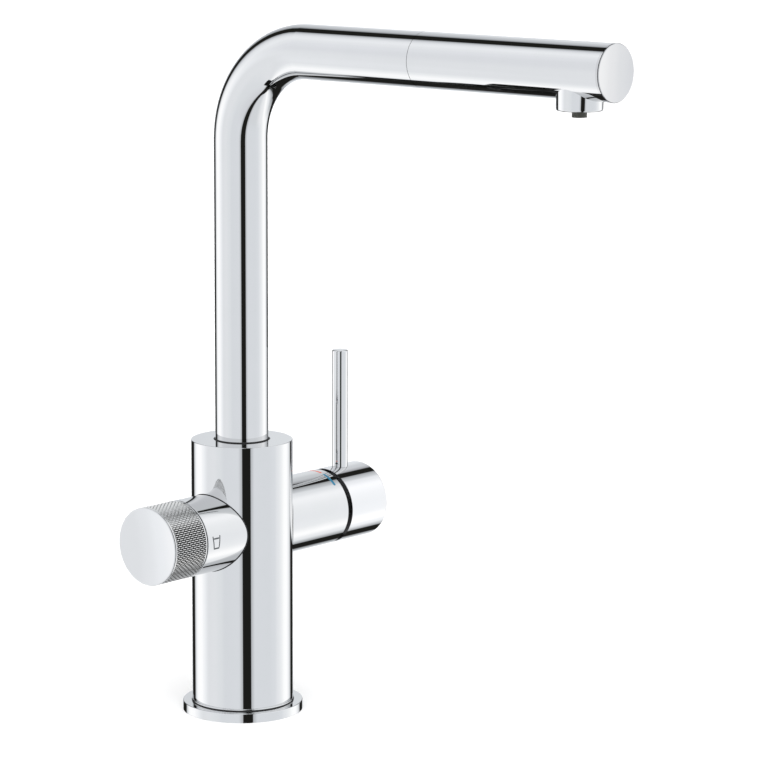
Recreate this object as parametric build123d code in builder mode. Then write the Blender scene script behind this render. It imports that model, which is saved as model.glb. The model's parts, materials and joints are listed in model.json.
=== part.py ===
from build123d import *
import math
import os

os.makedirs("parts", exist_ok=True)

# Water filter kitchen tap, in millimetres and degrees.
# The origin is the centre of the flange's underside, with +Z up. The spout runs forward
# along -Y, the filter knob is out along -X and the mixer lever is out along +X.
# A reach is a distance out from the body's axis, a height is measured from the deck.
# Screw threads are plain cylinders.

# Fits
seat_gap = 0.05
running_gap = 0.08
clear_gap = 0.3

# Flange and gasket
flange_radius = 32.15
flange_height = 5.0
flange_edge_round = 0.4
gasket_inner_radius = 26.0
gasket_width = 3.0
gasket_thickness = 1.8

# Manifold, its ports and screws
manifold_foot_radius = 23.0
manifold_height = 16.0
station_radius = 16.0
port_radius = 4.5
gallery_radius = 2.0
hot_angle = 30.0
mixed_angle = 90.0
filtered_out_angle = 150.0
filtered_in_angle = 210.0
cold_angle = 330.0
stud_angles = [0.0, 180.0]
stud_hole_radius = 2.5
stud_hole_depth = 12.0
screw_angles = [60.0, 120.0, 270.0]
screw_station_radius = 18.0
screw_radius = 1.5
screw_head_radius = 2.7
screw_head_height = 3.0
screw_grip = 8.0
screw_hex_width = 2.5
screw_hex_depth = 1.5
port_seal_land = 0.5
port_seal_width = 1.2
port_seal_height = 1.2
hose_channel_radius = 8.0

# Body
body_radius = 27.0
body_wall = 2.5
body_rise = 46.9
body_top_thickness = 3.0
body_foot_round = 0.8
body_top_round = 0.3

# Both side fittings
side_axis_height = 100.5
side_radius = 20.5
side_sleeve_wall = 1.25
side_edge_round = 0.3
spigot_radius = 15.0
spigot_seat_reach = 18.9
spigot_seal_start = 1.6
spigot_seal_width = 1.8
spigot_seal_depth = 1.4
supply_drop = 5.0
mixed_rise = 6.5
inlay_depth = 0.6

# Filter valve and its knob
collar_reach = 47.2
filter_barrel_inset = 1.7
filter_barrel_wall = 5.65
filter_floor_thickness = 3.6
headpart_wall = 1.8
headpart_seal_thickness = 1.5
filter_disc_thickness = 2.5
filter_disc_film = 0.05
filter_slot_depth = 1.5
spindle_plate_thickness = 2.6
spindle_plate_gap = 0.35
spindle_radius = 4.0
spindle_end_gap = 2.0
headpart_hex_inset = 0.5
headpart_hex_height = 4.0
headpart_neck_radius = 8.0
headpart_neck_height = 2.5
slide_ring_width = 3.8
slide_ring_lip = 0.4
slide_ring_inset = 0.5
knob_length = 23.8
knob_wall = 4.3
knob_face_thickness = 7.7
knob_insert_gap = 1.2
knob_band_inset = 0.9
knob_band_depth = 0.15

# Drinking-glass symbol on the filter collar
symbol_inset = 6.3
symbol_rise = 0.4
symbol_top_width = 5.0
symbol_bottom_width = 3.5
symbol_height = 6.4
symbol_stroke = 0.5
symbol_water_drop = 1.3

# Mixer cartridge and lever
sleeve_reach = 62.4
mixer_barrel_inset = 2.9
mixer_barrel_depth = 29.2
mixer_barrel_wall = 1.65
cartridge_wall = 2.0
cartridge_base_thickness = 3.0
cartridge_nut_thickness = 4.0
cartridge_mouth_radius = 9.6
cartridge_nut_bore_radius = 12.5
cartridge_seal_inner_radius = 2.3
cartridge_seal_width = 1.2
cartridge_seal_depth = 1.0
fixed_disc_thickness = 2.6
sliding_disc_radius = 12.8
sliding_disc_thickness = 2.6
sliding_pocket_radius = 9.0
sliding_pocket_drop = 2.0
sliding_pocket_depth = 1.4
disc_film = 0.05
disc_carrier_thickness = 3.8
pivot_inset = 16.4
pivot_pin_radius = 1.5
pivot_pin_inset = 1.7
stem_radius = 4.0
stem_cone_length = 2.2
stem_start_radius = 2.2
stem_ball_radius = 1.6
stem_neck_radius = 1.1
stem_slot_half_length = 7.4
cap_length = 28.9
cap_wall = 2.5
cap_face_thickness = 8.1
cap_cavity_depth = 7.2
cap_edge_round = 1.2
shroud_width = 3.6
shroud_gap = 0.4
shroud_inset = 0.4
shroud_thickness = 1.4
shroud_mouth_radius = 13.6
pin_inset = 16.6
pin_radius = 4.35
pin_top_height = 185.7
pin_top_round = 0.9
pin_spigot_radius = 3.0
pin_spigot_length = 8.0
set_screw_radius = 2.0
set_screw_length = 6.0
set_screw_hex_width = 2.0
set_screw_hex_depth = 2.5

# Hot and cold marks on the mixer sleeve, as angles about the side axis from +Y towards +Z
mark_inset = 4.8
mark_width = 1.0
hot_mark_start = 68.0
hot_mark_sweep = 35.0
cold_mark_start = 107.0
cold_mark_sweep = 28.0

# Spout
tube_radius = 14.1
tube_wall = 1.5
bend_radius = 47.5
spout_axis_height = 354.9
seam_reach = 125.8
seam_gap = 0.25
socket_web = 2.4
washer_thickness = 1.0
washer_inner_radius = 9.2
foot_inset = 0.9
foot_barrel_length = 12.0
foot_spigot_length = 20.0
foot_seal_starts = [2.6, 6.4]
foot_seal_width = 1.8
foot_seal_depth = 1.3
clip_thickness = 1.0
clip_depth = 0.6
clip_rim_gap = 0.6
clip_under_step = 0.5
clip_mouth = 9.0
bush_wall = 1.22
spout_seal_width = 0.9
dock_bush_length = 25.0
dock_bush_wall = 1.15
dock_bush_inset = 0.5

# Hose and the filtered-water line inside it
hose_radius = 5.8
hose_wall = 1.9
line_radius = 2.6
line_wall = 1.0
hose_end_height = 24.0
hose_end_inset = 1.8
ferrule_wall = 1.15
ferrule_length = 16.0
nipple_bore_radius = 3.0
nipple_flange_height = 4.0
nipple_flange_radius = 6.6
nipple_stem_radius = 5.0
nipple_end_height = 4.0
nipple_seal_start = 3.0
nipple_seal_width = 2.0
nipple_seal_depth = 1.1
line_end_height = 2.0
line_grip = 10.0
barb_length = 13.0

# Pull-out head
spout_reach = 244.5
end_cap_thickness = 2.0
end_cap_round = 0.4
end_cap_plug_length = 6.5
outlet_inset = 21.7
boss_radius = 11.4
boss_drop = 19.1
boss_edge_round = 1.0
boss_wall = 1.5
spigot_insertion = 21.8
spigot_flange_inset = 0.5
spigot_tip_chamfer = 1.0
fitting_flange_thickness = 2.0
fitting_neck_radius = 4.6
fitting_neck_length = 7.5
fitting_collar_inset = 0.4
fitting_collar_thickness = 2.0
nut_length = 12.7
nut_hex_width = 14.2
nut_run_out = 6.0
head_core_gap = 0.25
inlet_radius = 4.8
inlet_depth = 6.0
head_nipple_radius = 6.0
filtered_bore_radius = 1.7
mixed_bore_radius = 2.4
mixed_bore_drop = 6.0
mixed_bore_lap = 4.0
chamber_radius = 8.6
chamber_drop = 4.0
filter_stem_radius = 2.4
filter_stem_bore_radius = 1.5
filter_stem_rise = 2.0
filter_stem_grip = 5.0
aerator_inset = 0.5
aerator_bore_radius = 7.4
aerator_spigot_length = 4.5
insert_rise = 1.5
insert_thickness = 3.0
insert_hole_radius = 0.55
insert_hole_insets = [2.6, 1.1]
insert_hole_counts = [12, 18]
nozzle_radius = 3.7
nozzle_projection = 3.2
nozzle_length = 10.4
nozzle_orifice_radius = 1.6
nozzle_groove_count = 3
nozzle_groove_pitch = 0.9
nozzle_groove_width = 0.35
nozzle_groove_depth = 0.2
nozzle_edge_round = 0.3

# Sizes that follow from the ones above
port_seal_inner_radius = port_radius + port_seal_land
shell_inner_radius = body_radius - body_wall
core_radius = shell_inner_radius - seat_gap
body_height = side_axis_height + body_rise
core_top_height = body_height - body_top_thickness
side_barrel_start = body_radius + clear_gap
side_barrel_radius = side_radius - side_sleeve_wall - seat_gap
foot_radius = tube_radius - foot_inset
bush_radius = tube_radius + running_gap + bush_wall
clip_radius = bush_radius - clip_rim_gap
socket_floor_height = side_axis_height + spigot_radius + socket_web
foot_bottom_height = socket_floor_height + washer_thickness + running_gap
foot_step_height = foot_bottom_height + foot_barrel_length
clip_top_height = foot_step_height - clip_under_step
clip_bottom_height = clip_top_height - clip_thickness
bush_bottom_height = clip_top_height + clear_gap
tube_bore_radius = tube_radius - tube_wall
tube_end_reach = seam_reach - seam_gap / 2
head_start_reach = seam_reach + seam_gap / 2
hose_end_reach = seam_reach - hose_end_inset
hose_bore_radius = hose_radius - hose_wall
barb_radius = hose_bore_radius - seat_gap
ferrule_radius = hose_radius + seat_gap + ferrule_wall
spigot_flange_reach = seam_reach + spigot_flange_inset
spigot_tip_reach = seam_reach - spigot_insertion
head_bore_radius = nut_hex_width / math.sqrt(3) + clear_gap
fitting_flange_reach = hose_end_reach + fitting_flange_thickness
fitting_reach = fitting_flange_reach + fitting_neck_length
fitting_collar_radius = head_nipple_radius - fitting_collar_inset
nut_start = fitting_flange_reach + clear_gap
nut_reach = nut_start + nut_length
head_core_reach = nut_reach + nut_run_out
inlet_end_reach = head_core_reach + inlet_depth
line_end_reach = head_core_reach + line_grip
outlet_reach = spout_reach - outlet_inset
core_front_reach = spout_reach - end_cap_thickness - end_cap_plug_length
head_core_radius = tube_bore_radius - head_core_gap
core_underside_height = spout_axis_height - head_core_radius
boss_bottom_height = spout_axis_height - boss_drop
insert_bottom_height = boss_bottom_height + insert_rise
nozzle_bottom_height = boss_bottom_height - nozzle_projection
nozzle_top_height = nozzle_bottom_height + nozzle_length
filter_stem_bottom_height = nozzle_top_height - filter_stem_grip
filter_barrel_reach = collar_reach - filter_barrel_inset
filter_floor_reach = spigot_seat_reach + filter_floor_thickness
headpart_radius = side_barrel_radius - filter_barrel_wall - seat_gap
headpart_hex_width = 2 * (headpart_radius - headpart_hex_inset)
headpart_bore_radius = headpart_radius - headpart_wall
filter_disc_radius = headpart_bore_radius - clear_gap
fixed_filter_disc_reach = filter_floor_reach + headpart_seal_thickness
turning_filter_disc_reach = fixed_filter_disc_reach + filter_disc_thickness + filter_disc_film
spindle_plate_reach = turning_filter_disc_reach + filter_disc_thickness
headpart_bearing_start = spindle_plate_reach + spindle_plate_thickness + spindle_plate_gap
headpart_hex_reach = filter_barrel_reach + headpart_hex_height
headpart_neck_reach = headpart_hex_reach + headpart_neck_height
slide_ring_inner_radius = side_barrel_radius - slide_ring_width
knob_start_reach = collar_reach + slide_ring_lip + clear_gap
knob_reach = knob_start_reach + knob_length
knob_cavity_depth = knob_length - knob_face_thickness
knob_cavity_radius = side_radius - knob_wall
knob_cavity_reach = knob_start_reach + knob_cavity_depth
knob_insert_start = headpart_neck_reach + knob_insert_gap
spindle_reach = knob_cavity_reach - spindle_end_gap
symbol_reach = collar_reach - symbol_inset
mixer_barrel_reach = sleeve_reach - mixer_barrel_inset
mixer_floor_reach = mixer_barrel_reach - mixer_barrel_depth
cartridge_radius = side_barrel_radius - mixer_barrel_wall - seat_gap
cartridge_top_reach = mixer_barrel_reach - cartridge_nut_thickness
pivot_reach = sleeve_reach - pivot_inset
mark_reach = sleeve_reach - mark_inset
fixed_disc_reach = mixer_floor_reach + cartridge_base_thickness
sliding_disc_reach = fixed_disc_reach + fixed_disc_thickness + disc_film
disc_carrier_reach = sliding_disc_reach + sliding_disc_thickness
driver_reach = disc_carrier_reach + disc_carrier_thickness + clear_gap
driver_top_reach = cartridge_top_reach - cartridge_wall - clear_gap
cartridge_bore_radius = cartridge_radius - cartridge_wall
driver_radius = cartridge_bore_radius - clear_gap
pivot_pin_half_length = driver_radius - pivot_pin_inset
cap_start_reach = sleeve_reach + shroud_width
cap_reach = cap_start_reach + cap_length
cap_cavity_radius = side_radius - cap_wall
pin_reach = cap_reach - pin_inset
stem_start_reach = pivot_reach - stem_cone_length
stem_end_reach = cap_reach - cap_face_thickness
stem_ball_reach = disc_carrier_reach + disc_carrier_thickness / 2
shroud_sphere_radius = math.hypot(cap_start_reach - pivot_reach, cap_cavity_radius) - shroud_gap
shroud_lip_radius = side_radius - shroud_inset
port_angles = [hot_angle, mixed_angle, filtered_out_angle, filtered_in_angle, cold_angle]


# Planes across each axis, all facing away from the body's middle
def up(height):
    return Plane.XY.offset(height)


def right(reach):
    return Plane((reach, 0, side_axis_height), x_dir=(0, 1, 0), z_dir=(1, 0, 0))


def left(reach):
    return Plane((-reach, 0, side_axis_height), x_dir=(0, -1, 0), z_dir=(-1, 0, 0))


def front(reach):
    return Plane((0, -reach, spout_axis_height), x_dir=(1, 0, 0), z_dir=(0, -1, 0))


def at_outlet(height):
    return Plane((0, -outlet_reach, height))


def station(angle, radius=station_radius):
    return (radius * math.cos(math.radians(angle)), radius * math.sin(math.radians(angle)))


# Turned and drilled shapes
def disc(plane, radius, length, mode=Mode.ADD, points=((0, 0),)):
    with BuildSketch(plane) as outline:
        with Locations(*points):
            Circle(radius)
    extrude(outline.sketch, amount=length, mode=mode)


def bore(plane, radius, depth, points=((0, 0),)):
    disc(plane, radius, depth, Mode.SUBTRACT, points)


def ring(plane, outer_radius, inner_radius, length, mode=Mode.ADD, points=((0, 0),)):
    with BuildSketch(plane) as outline:
        with Locations(*points):
            Circle(outer_radius)
            Circle(inner_radius, mode=Mode.SUBTRACT)
    extrude(outline.sketch, amount=length, mode=mode)


def hexagon(plane, width_across_flats, length, mode=Mode.ADD, points=((0, 0),)):
    with BuildSketch(plane) as outline:
        with Locations(*points):
            RegularPolygon(width_across_flats / 2, 6, major_radius=False)
    extrude(outline.sketch, amount=length, mode=mode)


def hose_run(low_height, end_reach, outer_radius, inner_radius):
    with BuildLine() as route:
        FilletPolyline(
            (0, 0, low_height),
            (0, 0, spout_axis_height),
            (0, -end_reach, spout_axis_height),
            radius=bend_radius,
        )
    with BuildSketch(up(low_height)) as section:
        Circle(outer_radius)
        Circle(inner_radius, mode=Mode.SUBTRACT)
    sweep(section.sketch, path=route.line)


# Drinking glass with its water line, as strokes on a plane behind the collar's front
def glass_outline(stroke):
    face = Plane(
        (-symbol_reach, inlay_depth - side_radius, side_axis_height + symbol_rise),
        x_dir=(1, 0, 0),
        z_dir=(0, -1, 0),
    )
    half_height = symbol_height / 2
    water_height = half_height - symbol_water_drop
    water_width = symbol_top_width - 3 * symbol_stroke
    with BuildSketch(face) as outline:
        with BuildLine():
            Polyline(
                (-symbol_top_width / 2, half_height),
                (-symbol_bottom_width / 2, -half_height),
                (symbol_bottom_width / 2, -half_height),
                (symbol_top_width / 2, half_height),
            )
        trace(line_width=stroke)
        with BuildLine():
            Line((-water_width / 2, water_height), (water_width / 2, water_height))
        trace(line_width=stroke)
    return outline.sketch


# Strip of the mixer sleeve's surface, the wider one being the pocket for it
def sleeve_mark(start_angle, sweep_angle, gap=0, mode=Mode.ADD):
    gap_angle = math.degrees(gap / side_radius)
    with BuildSketch(right(mark_reach - gap)) as outline:
        with BuildLine():
            CenterArc(
                (0, 0),
                side_radius - inlay_depth / 2,
                start_angle - gap_angle,
                sweep_angle + 2 * gap_angle,
            )
        trace(line_width=inlay_depth + 2 * gap)
    extrude(outline.sketch, amount=mark_width + 2 * gap, mode=mode)


# Flange: flat disc with a groove for its gasket and a bore for the manifold's foot
with BuildPart() as base_flange:
    disc(up(0), flange_radius, flange_height)
    fillet(base_flange.edges().sort_by(Axis.Z)[-1], flange_edge_round)
    bore(up(0), manifold_foot_radius + seat_gap, flange_height)
    ring(
        up(0),
        gasket_inner_radius + gasket_width + seat_gap,
        gasket_inner_radius - seat_gap,
        gasket_thickness,
        Mode.SUBTRACT,
    )

with BuildPart() as base_gasket:
    ring(up(0), gasket_inner_radius + gasket_width, gasket_inner_radius, gasket_thickness)

# Manifold: a port for each hose runs up through it to a gallery of the core
with BuildPart() as base_manifold:
    disc(up(0), manifold_foot_radius, flange_height)
    disc(up(flange_height), core_radius, manifold_height - flange_height)
    bore(up(0), hose_channel_radius, manifold_height)
    bore(up(0), port_radius, manifold_height, [station(angle) for angle in port_angles])
    bore(up(0), stud_hole_radius, stud_hole_depth, [station(angle) for angle in stud_angles])
    bore(
        up(0),
        screw_head_radius + 2 * seat_gap,
        screw_head_height + 2 * seat_gap,
        [station(angle, screw_station_radius) for angle in screw_angles],
    )
    bore(
        up(0),
        screw_radius + seat_gap,
        manifold_height,
        [station(angle, screw_station_radius) for angle in screw_angles],
    )
    ring(
        up(manifold_height - port_seal_height),
        port_seal_inner_radius + port_seal_width + seat_gap,
        port_seal_inner_radius - seat_gap,
        port_seal_height,
        Mode.SUBTRACT,
        [station(angle) for angle in port_angles],
    )

with BuildPart() as manifold_screws:
    spots = [station(angle, screw_station_radius) for angle in screw_angles]
    shank_length = manifold_height + screw_grip - screw_head_height - 2 * seat_gap
    disc(up(2 * seat_gap), screw_head_radius, screw_head_height, points=spots)
    disc(up(screw_head_height + 2 * seat_gap), screw_radius, shank_length, points=spots)
    hexagon(up(2 * seat_gap), screw_hex_width, screw_hex_depth, Mode.SUBTRACT, spots)

with BuildPart() as port_seals:
    ring(
        up(manifold_height - port_seal_height),
        port_seal_inner_radius + port_seal_width,
        port_seal_inner_radius,
        port_seal_height,
        points=[station(angle) for angle in port_angles],
    )

# Body shell: tube with a flat top, open below, with an opening for each side spigot
with BuildPart() as body_shell:
    disc(up(flange_height), body_radius, body_height - flange_height)
    fillet(body_shell.edges().sort_by(Axis.Z)[0], body_foot_round)
    fillet(body_shell.edges().sort_by(Axis.Z)[-1], body_top_round)
    bore(up(flange_height), shell_inner_radius, core_top_height - flange_height)
    bore(up(core_top_height), tube_radius + running_gap + spout_seal_width, body_top_thickness)
    bore(right(0), spigot_radius + clear_gap, body_radius)
    bore(left(0), spigot_radius + clear_gap, body_radius)

# Core: seats for both side spigots, galleries, hose channel and the spout's socket
with BuildPart() as valve_core:
    disc(up(manifold_height), core_radius, core_top_height - manifold_height)
    bore(up(manifold_height), hose_channel_radius, core_top_height - manifold_height)
    bore(right(spigot_seat_reach), spigot_radius + seat_gap, core_radius)
    bore(left(spigot_seat_reach), spigot_radius + seat_gap, core_radius)
    bore(
        up(manifold_height),
        screw_radius + seat_gap,
        screw_grip + seat_gap,
        [station(angle, screw_station_radius) for angle in screw_angles],
    )
    for angle in (hot_angle, cold_angle):
        supply_x, supply_y = station(angle)
        supply_height = side_axis_height - supply_drop
        bore(
            up(manifold_height),
            gallery_radius,
            supply_height - manifold_height,
            [(supply_x, supply_y)],
        )
        bore(
            right(supply_x),
            gallery_radius,
            spigot_seat_reach - supply_x,
            [(supply_y, -supply_drop)],
        )
    for angle in (filtered_in_angle, filtered_out_angle):
        filtered_x, filtered_y = station(angle)
        bore(
            up(manifold_height),
            gallery_radius,
            side_axis_height - manifold_height,
            [(filtered_x, filtered_y)],
        )
        bore(
            left(-filtered_x),
            gallery_radius,
            spigot_seat_reach + filtered_x,
            [(-filtered_y, 0)],
        )
    mixed_x, mixed_y = station(mixed_angle)
    mixed_height = side_axis_height + mixed_rise
    cross_run = Vector(spigot_seat_reach - mixed_x, station(hot_angle)[1] - mixed_y, 0)
    bore(
        up(manifold_height),
        gallery_radius,
        mixed_height - manifold_height,
        [(mixed_x, mixed_y)],
    )
    bore(
        Plane((mixed_x, mixed_y, mixed_height), z_dir=cross_run),
        gallery_radius,
        cross_run.length,
    )
    bore(
        up(socket_floor_height),
        foot_radius + running_gap,
        core_top_height - socket_floor_height,
    )
    bore(
        up(clip_bottom_height - clear_gap),
        bush_radius + seat_gap,
        core_top_height - clip_bottom_height + clear_gap,
    )

with BuildPart() as housing_seals:
    for side in (right, left):
        ring(
            side(spigot_seat_reach + spigot_seal_start + seat_gap),
            spigot_radius,
            spigot_radius - spigot_seal_depth + seat_gap,
            spigot_seal_width - 2 * seat_gap,
        )

with BuildPart() as thrust_washer:
    ring(up(socket_floor_height), foot_radius, washer_inner_radius, washer_thickness)

with BuildPart() as swivel_bush:
    ring(
        up(bush_bottom_height),
        bush_radius,
        tube_radius + running_gap,
        core_top_height - bush_bottom_height,
    )

with BuildPart() as spout_seal_ring:
    ring(
        up(core_top_height),
        tube_radius + running_gap + spout_seal_width - seat_gap,
        tube_radius + running_gap,
        body_top_thickness,
    )

# Filter side: barrel in the core's seat, chromed collar around it
with BuildPart() as filter_housing:
    disc(left(spigot_seat_reach), spigot_radius, side_barrel_start - spigot_seat_reach)
    disc(left(side_barrel_start), side_barrel_radius, filter_barrel_reach - side_barrel_start)
    bore(
        left(filter_floor_reach),
        headpart_radius + seat_gap,
        filter_barrel_reach - filter_floor_reach,
    )
    bore(
        left(spigot_seat_reach),
        gallery_radius,
        filter_floor_reach - spigot_seat_reach,
        [(-station(angle)[1], 0) for angle in (filtered_in_angle, filtered_out_angle)],
    )
    ring(
        left(spigot_seat_reach + spigot_seal_start),
        spigot_radius,
        spigot_radius - spigot_seal_depth,
        spigot_seal_width,
        Mode.SUBTRACT,
    )

with BuildPart() as filter_collar:
    disc(left(0), side_radius, collar_reach)
    fillet(filter_collar.edges().sort_by(Axis.X)[0], side_edge_round)
    bore(left(0), side_radius - side_sleeve_wall, collar_reach)
    bore(up(0), body_radius + seat_gap, body_height)
    extrude(
        glass_outline(symbol_stroke + 2 * seat_gap),
        amount=side_radius,
        mode=Mode.SUBTRACT,
    )

with BuildPart() as filter_symbol:
    disc(left(0), side_radius, collar_reach)
    extrude(glass_outline(symbol_stroke), amount=side_radius, mode=Mode.INTERSECT)

with BuildPart() as headpart_seal:
    disc(left(filter_floor_reach), headpart_radius, headpart_seal_thickness)
    bore(
        left(filter_floor_reach),
        gallery_radius,
        headpart_seal_thickness,
        [(-station(angle)[1], 0) for angle in (filtered_in_angle, filtered_out_angle)],
    )

with BuildPart() as headpart_body:
    disc(
        left(fixed_filter_disc_reach),
        headpart_radius,
        filter_barrel_reach - fixed_filter_disc_reach,
    )
    hexagon(left(filter_barrel_reach), headpart_hex_width, headpart_hex_height)
    disc(left(headpart_hex_reach), headpart_neck_radius, headpart_neck_height)
    bore(
        left(fixed_filter_disc_reach),
        headpart_bore_radius,
        headpart_bearing_start - fixed_filter_disc_reach,
    )
    bore(
        left(fixed_filter_disc_reach),
        spindle_radius + running_gap,
        headpart_neck_reach - fixed_filter_disc_reach,
    )

with BuildPart() as fixed_filter_disc:
    disc(
        left(fixed_filter_disc_reach),
        headpart_bore_radius - seat_gap,
        filter_disc_thickness,
    )
    bore(
        left(fixed_filter_disc_reach),
        gallery_radius,
        filter_disc_thickness,
        [(-station(angle)[1], 0) for angle in (filtered_in_angle, filtered_out_angle)],
    )

# Turning disc: its slot joins the two ports when the knob is a quarter turn open
with BuildPart() as turning_filter_disc:
    disc(left(turning_filter_disc_reach), filter_disc_radius, filter_disc_thickness)
    with BuildSketch(left(turning_filter_disc_reach)) as port_slot:
        SlotCenterToCenter(2 * abs(station(filtered_in_angle)[1]), 2 * gallery_radius, rotation=90)
    extrude(port_slot.sketch, amount=filter_slot_depth, mode=Mode.SUBTRACT)

with BuildPart() as headpart_spindle:
    disc(left(spindle_plate_reach), filter_disc_radius, spindle_plate_thickness)
    disc(left(spindle_plate_reach), spindle_radius, spindle_reach - spindle_plate_reach)

with BuildPart() as knob_slide_ring:
    ring(
        left(filter_barrel_reach),
        side_radius - side_sleeve_wall - seat_gap,
        slide_ring_inner_radius,
        collar_reach - filter_barrel_reach,
    )
    ring(
        left(collar_reach),
        side_radius - slide_ring_inset,
        slide_ring_inner_radius,
        slide_ring_lip,
    )

# Knob: cup with a band between two plain rims, and a splined insert on the spindle
with BuildPart() as filter_knob:
    disc(left(knob_start_reach), side_radius, knob_reach - knob_start_reach)
    fillet(filter_knob.edges().filter_by(GeomType.CIRCLE), side_edge_round)
    ring(
        left(knob_start_reach + knob_band_inset),
        side_radius,
        side_radius - knob_band_depth,
        knob_reach - knob_start_reach - 2 * knob_band_inset,
        Mode.SUBTRACT,
    )
    bore(left(knob_start_reach), knob_cavity_radius, knob_cavity_depth)

with BuildPart() as knob_insert:
    disc(
        left(knob_insert_start),
        knob_cavity_radius - seat_gap,
        knob_cavity_reach - knob_insert_start,
    )
    bore(
        left(knob_insert_start),
        spindle_radius + seat_gap,
        spindle_reach + seat_gap - knob_insert_start,
    )

# Mixer side: barrel in the core's seat, chromed sleeve around it
mixing_ports = [
    (station(hot_angle)[1], -supply_drop),
    (station(cold_angle)[1], -supply_drop),
    (station(hot_angle)[1], mixed_rise),
]

with BuildPart() as mixer_housing:
    disc(right(spigot_seat_reach), spigot_radius, side_barrel_start - spigot_seat_reach)
    disc(right(side_barrel_start), side_barrel_radius, mixer_barrel_reach - side_barrel_start)
    bore(
        right(mixer_floor_reach),
        cartridge_radius + seat_gap,
        mixer_barrel_reach - mixer_floor_reach,
    )
    bore(
        right(spigot_seat_reach),
        gallery_radius,
        mixer_floor_reach - spigot_seat_reach,
        mixing_ports,
    )
    ring(
        right(spigot_seat_reach + spigot_seal_start),
        spigot_radius,
        spigot_radius - spigot_seal_depth,
        spigot_seal_width,
        Mode.SUBTRACT,
    )

with BuildPart() as mixer_sleeve:
    ring(right(0), side_radius, side_radius - side_sleeve_wall, sleeve_reach)
    bore(up(0), body_radius + seat_gap, body_height)
    sleeve_mark(hot_mark_start, hot_mark_sweep, seat_gap, Mode.SUBTRACT)
    sleeve_mark(cold_mark_start, cold_mark_sweep, seat_gap, Mode.SUBTRACT)

with BuildPart() as hot_mark:
    sleeve_mark(hot_mark_start, hot_mark_sweep)

with BuildPart() as cold_mark:
    sleeve_mark(cold_mark_start, cold_mark_sweep)

with BuildPart() as cartridge_base:
    disc(right(mixer_floor_reach), cartridge_radius, cartridge_base_thickness)
    bore(right(mixer_floor_reach), gallery_radius, cartridge_base_thickness, mixing_ports)
    ring(
        right(mixer_floor_reach),
        cartridge_seal_inner_radius + cartridge_seal_width + seat_gap,
        cartridge_seal_inner_radius - seat_gap,
        cartridge_seal_depth,
        Mode.SUBTRACT,
        mixing_ports,
    )

with BuildPart() as cartridge_seals:
    ring(
        right(mixer_floor_reach),
        cartridge_seal_inner_radius + cartridge_seal_width,
        cartridge_seal_inner_radius,
        cartridge_seal_depth,
        points=mixing_ports,
    )

with BuildPart() as cartridge_body:
    ring(
        right(fixed_disc_reach),
        cartridge_radius,
        cartridge_bore_radius,
        cartridge_top_reach - fixed_disc_reach - cartridge_wall,
    )
    ring(
        right(cartridge_top_reach - cartridge_wall),
        cartridge_radius,
        cartridge_mouth_radius,
        cartridge_wall,
    )

with BuildPart() as fixed_mixing_disc:
    disc(right(fixed_disc_reach), cartridge_bore_radius - seat_gap, fixed_disc_thickness)
    bore(right(fixed_disc_reach), gallery_radius, fixed_disc_thickness, mixing_ports)

# Sliding disc: its pocket joins the supplies to the outlet as the lever tilts
with BuildPart() as sliding_mixing_disc:
    disc(right(sliding_disc_reach), sliding_disc_radius, sliding_disc_thickness)
    bore(
        right(sliding_disc_reach),
        sliding_pocket_radius,
        sliding_pocket_depth,
        [(0, -sliding_pocket_drop)],
    )

with BuildPart() as disc_carrier:
    ring(
        right(disc_carrier_reach),
        sliding_disc_radius,
        stem_ball_radius + clear_gap,
        disc_carrier_thickness,
    )

# Driver: turns in the cartridge and carries the lever's pivot pin
with BuildPart() as cartridge_driver:
    disc(right(driver_reach), driver_radius, driver_top_reach - driver_reach)
    with BuildSketch(right(driver_reach)) as stem_slot:
        Rectangle(2 * (stem_radius + clear_gap), 2 * stem_slot_half_length)
    extrude(stem_slot.sketch, amount=driver_top_reach - driver_reach, mode=Mode.SUBTRACT)
    with BuildSketch(Plane((pivot_reach, 0, side_axis_height), z_dir=(0, 1, 0))) as pin_hole:
        Circle(pivot_pin_radius + seat_gap)
    extrude(pin_hole.sketch, amount=driver_radius, both=True, mode=Mode.SUBTRACT)

with BuildPart() as pivot_pin:
    with BuildSketch(Plane((pivot_reach, 0, side_axis_height), z_dir=(0, 1, 0))) as pin_end:
        Circle(pivot_pin_radius)
    extrude(pin_end.sketch, amount=pivot_pin_half_length, both=True)

with BuildPart() as cartridge_stem:
    with BuildSketch(Plane.XZ) as stem_section:
        with BuildLine():
            Polyline(
                (stem_ball_reach, side_axis_height),
                (stem_ball_reach, side_axis_height + stem_neck_radius),
                (stem_start_reach, side_axis_height + stem_neck_radius),
                (stem_start_reach, side_axis_height + stem_start_radius),
                (pivot_reach, side_axis_height + stem_radius),
                (stem_end_reach, side_axis_height + stem_radius),
                (stem_end_reach, side_axis_height),
                close=True,
            )
        make_face()
    revolve(stem_section.sketch, axis=Axis((0, 0, side_axis_height), (1, 0, 0)))
    with Locations((stem_ball_reach, 0, side_axis_height)):
        Sphere(stem_ball_radius)
    with BuildSketch(Plane((pivot_reach, 0, side_axis_height), z_dir=(0, 1, 0))) as stem_hole:
        Circle(pivot_pin_radius + running_gap)
    extrude(stem_hole.sketch, amount=stem_radius, both=True, mode=Mode.SUBTRACT)

with BuildPart() as cartridge_nut:
    ring(
        right(cartridge_top_reach),
        cartridge_radius,
        cartridge_nut_bore_radius,
        cartridge_nut_thickness,
    )

# Shroud: dome about the lever's pivot, so that the cap tilts over it
def dome_reach(sphere_radius, radius):
    return pivot_reach + math.sqrt(sphere_radius**2 - radius**2)


def dome_point(sphere_radius, radius):
    return (dome_reach(sphere_radius, radius), side_axis_height + radius)


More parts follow.
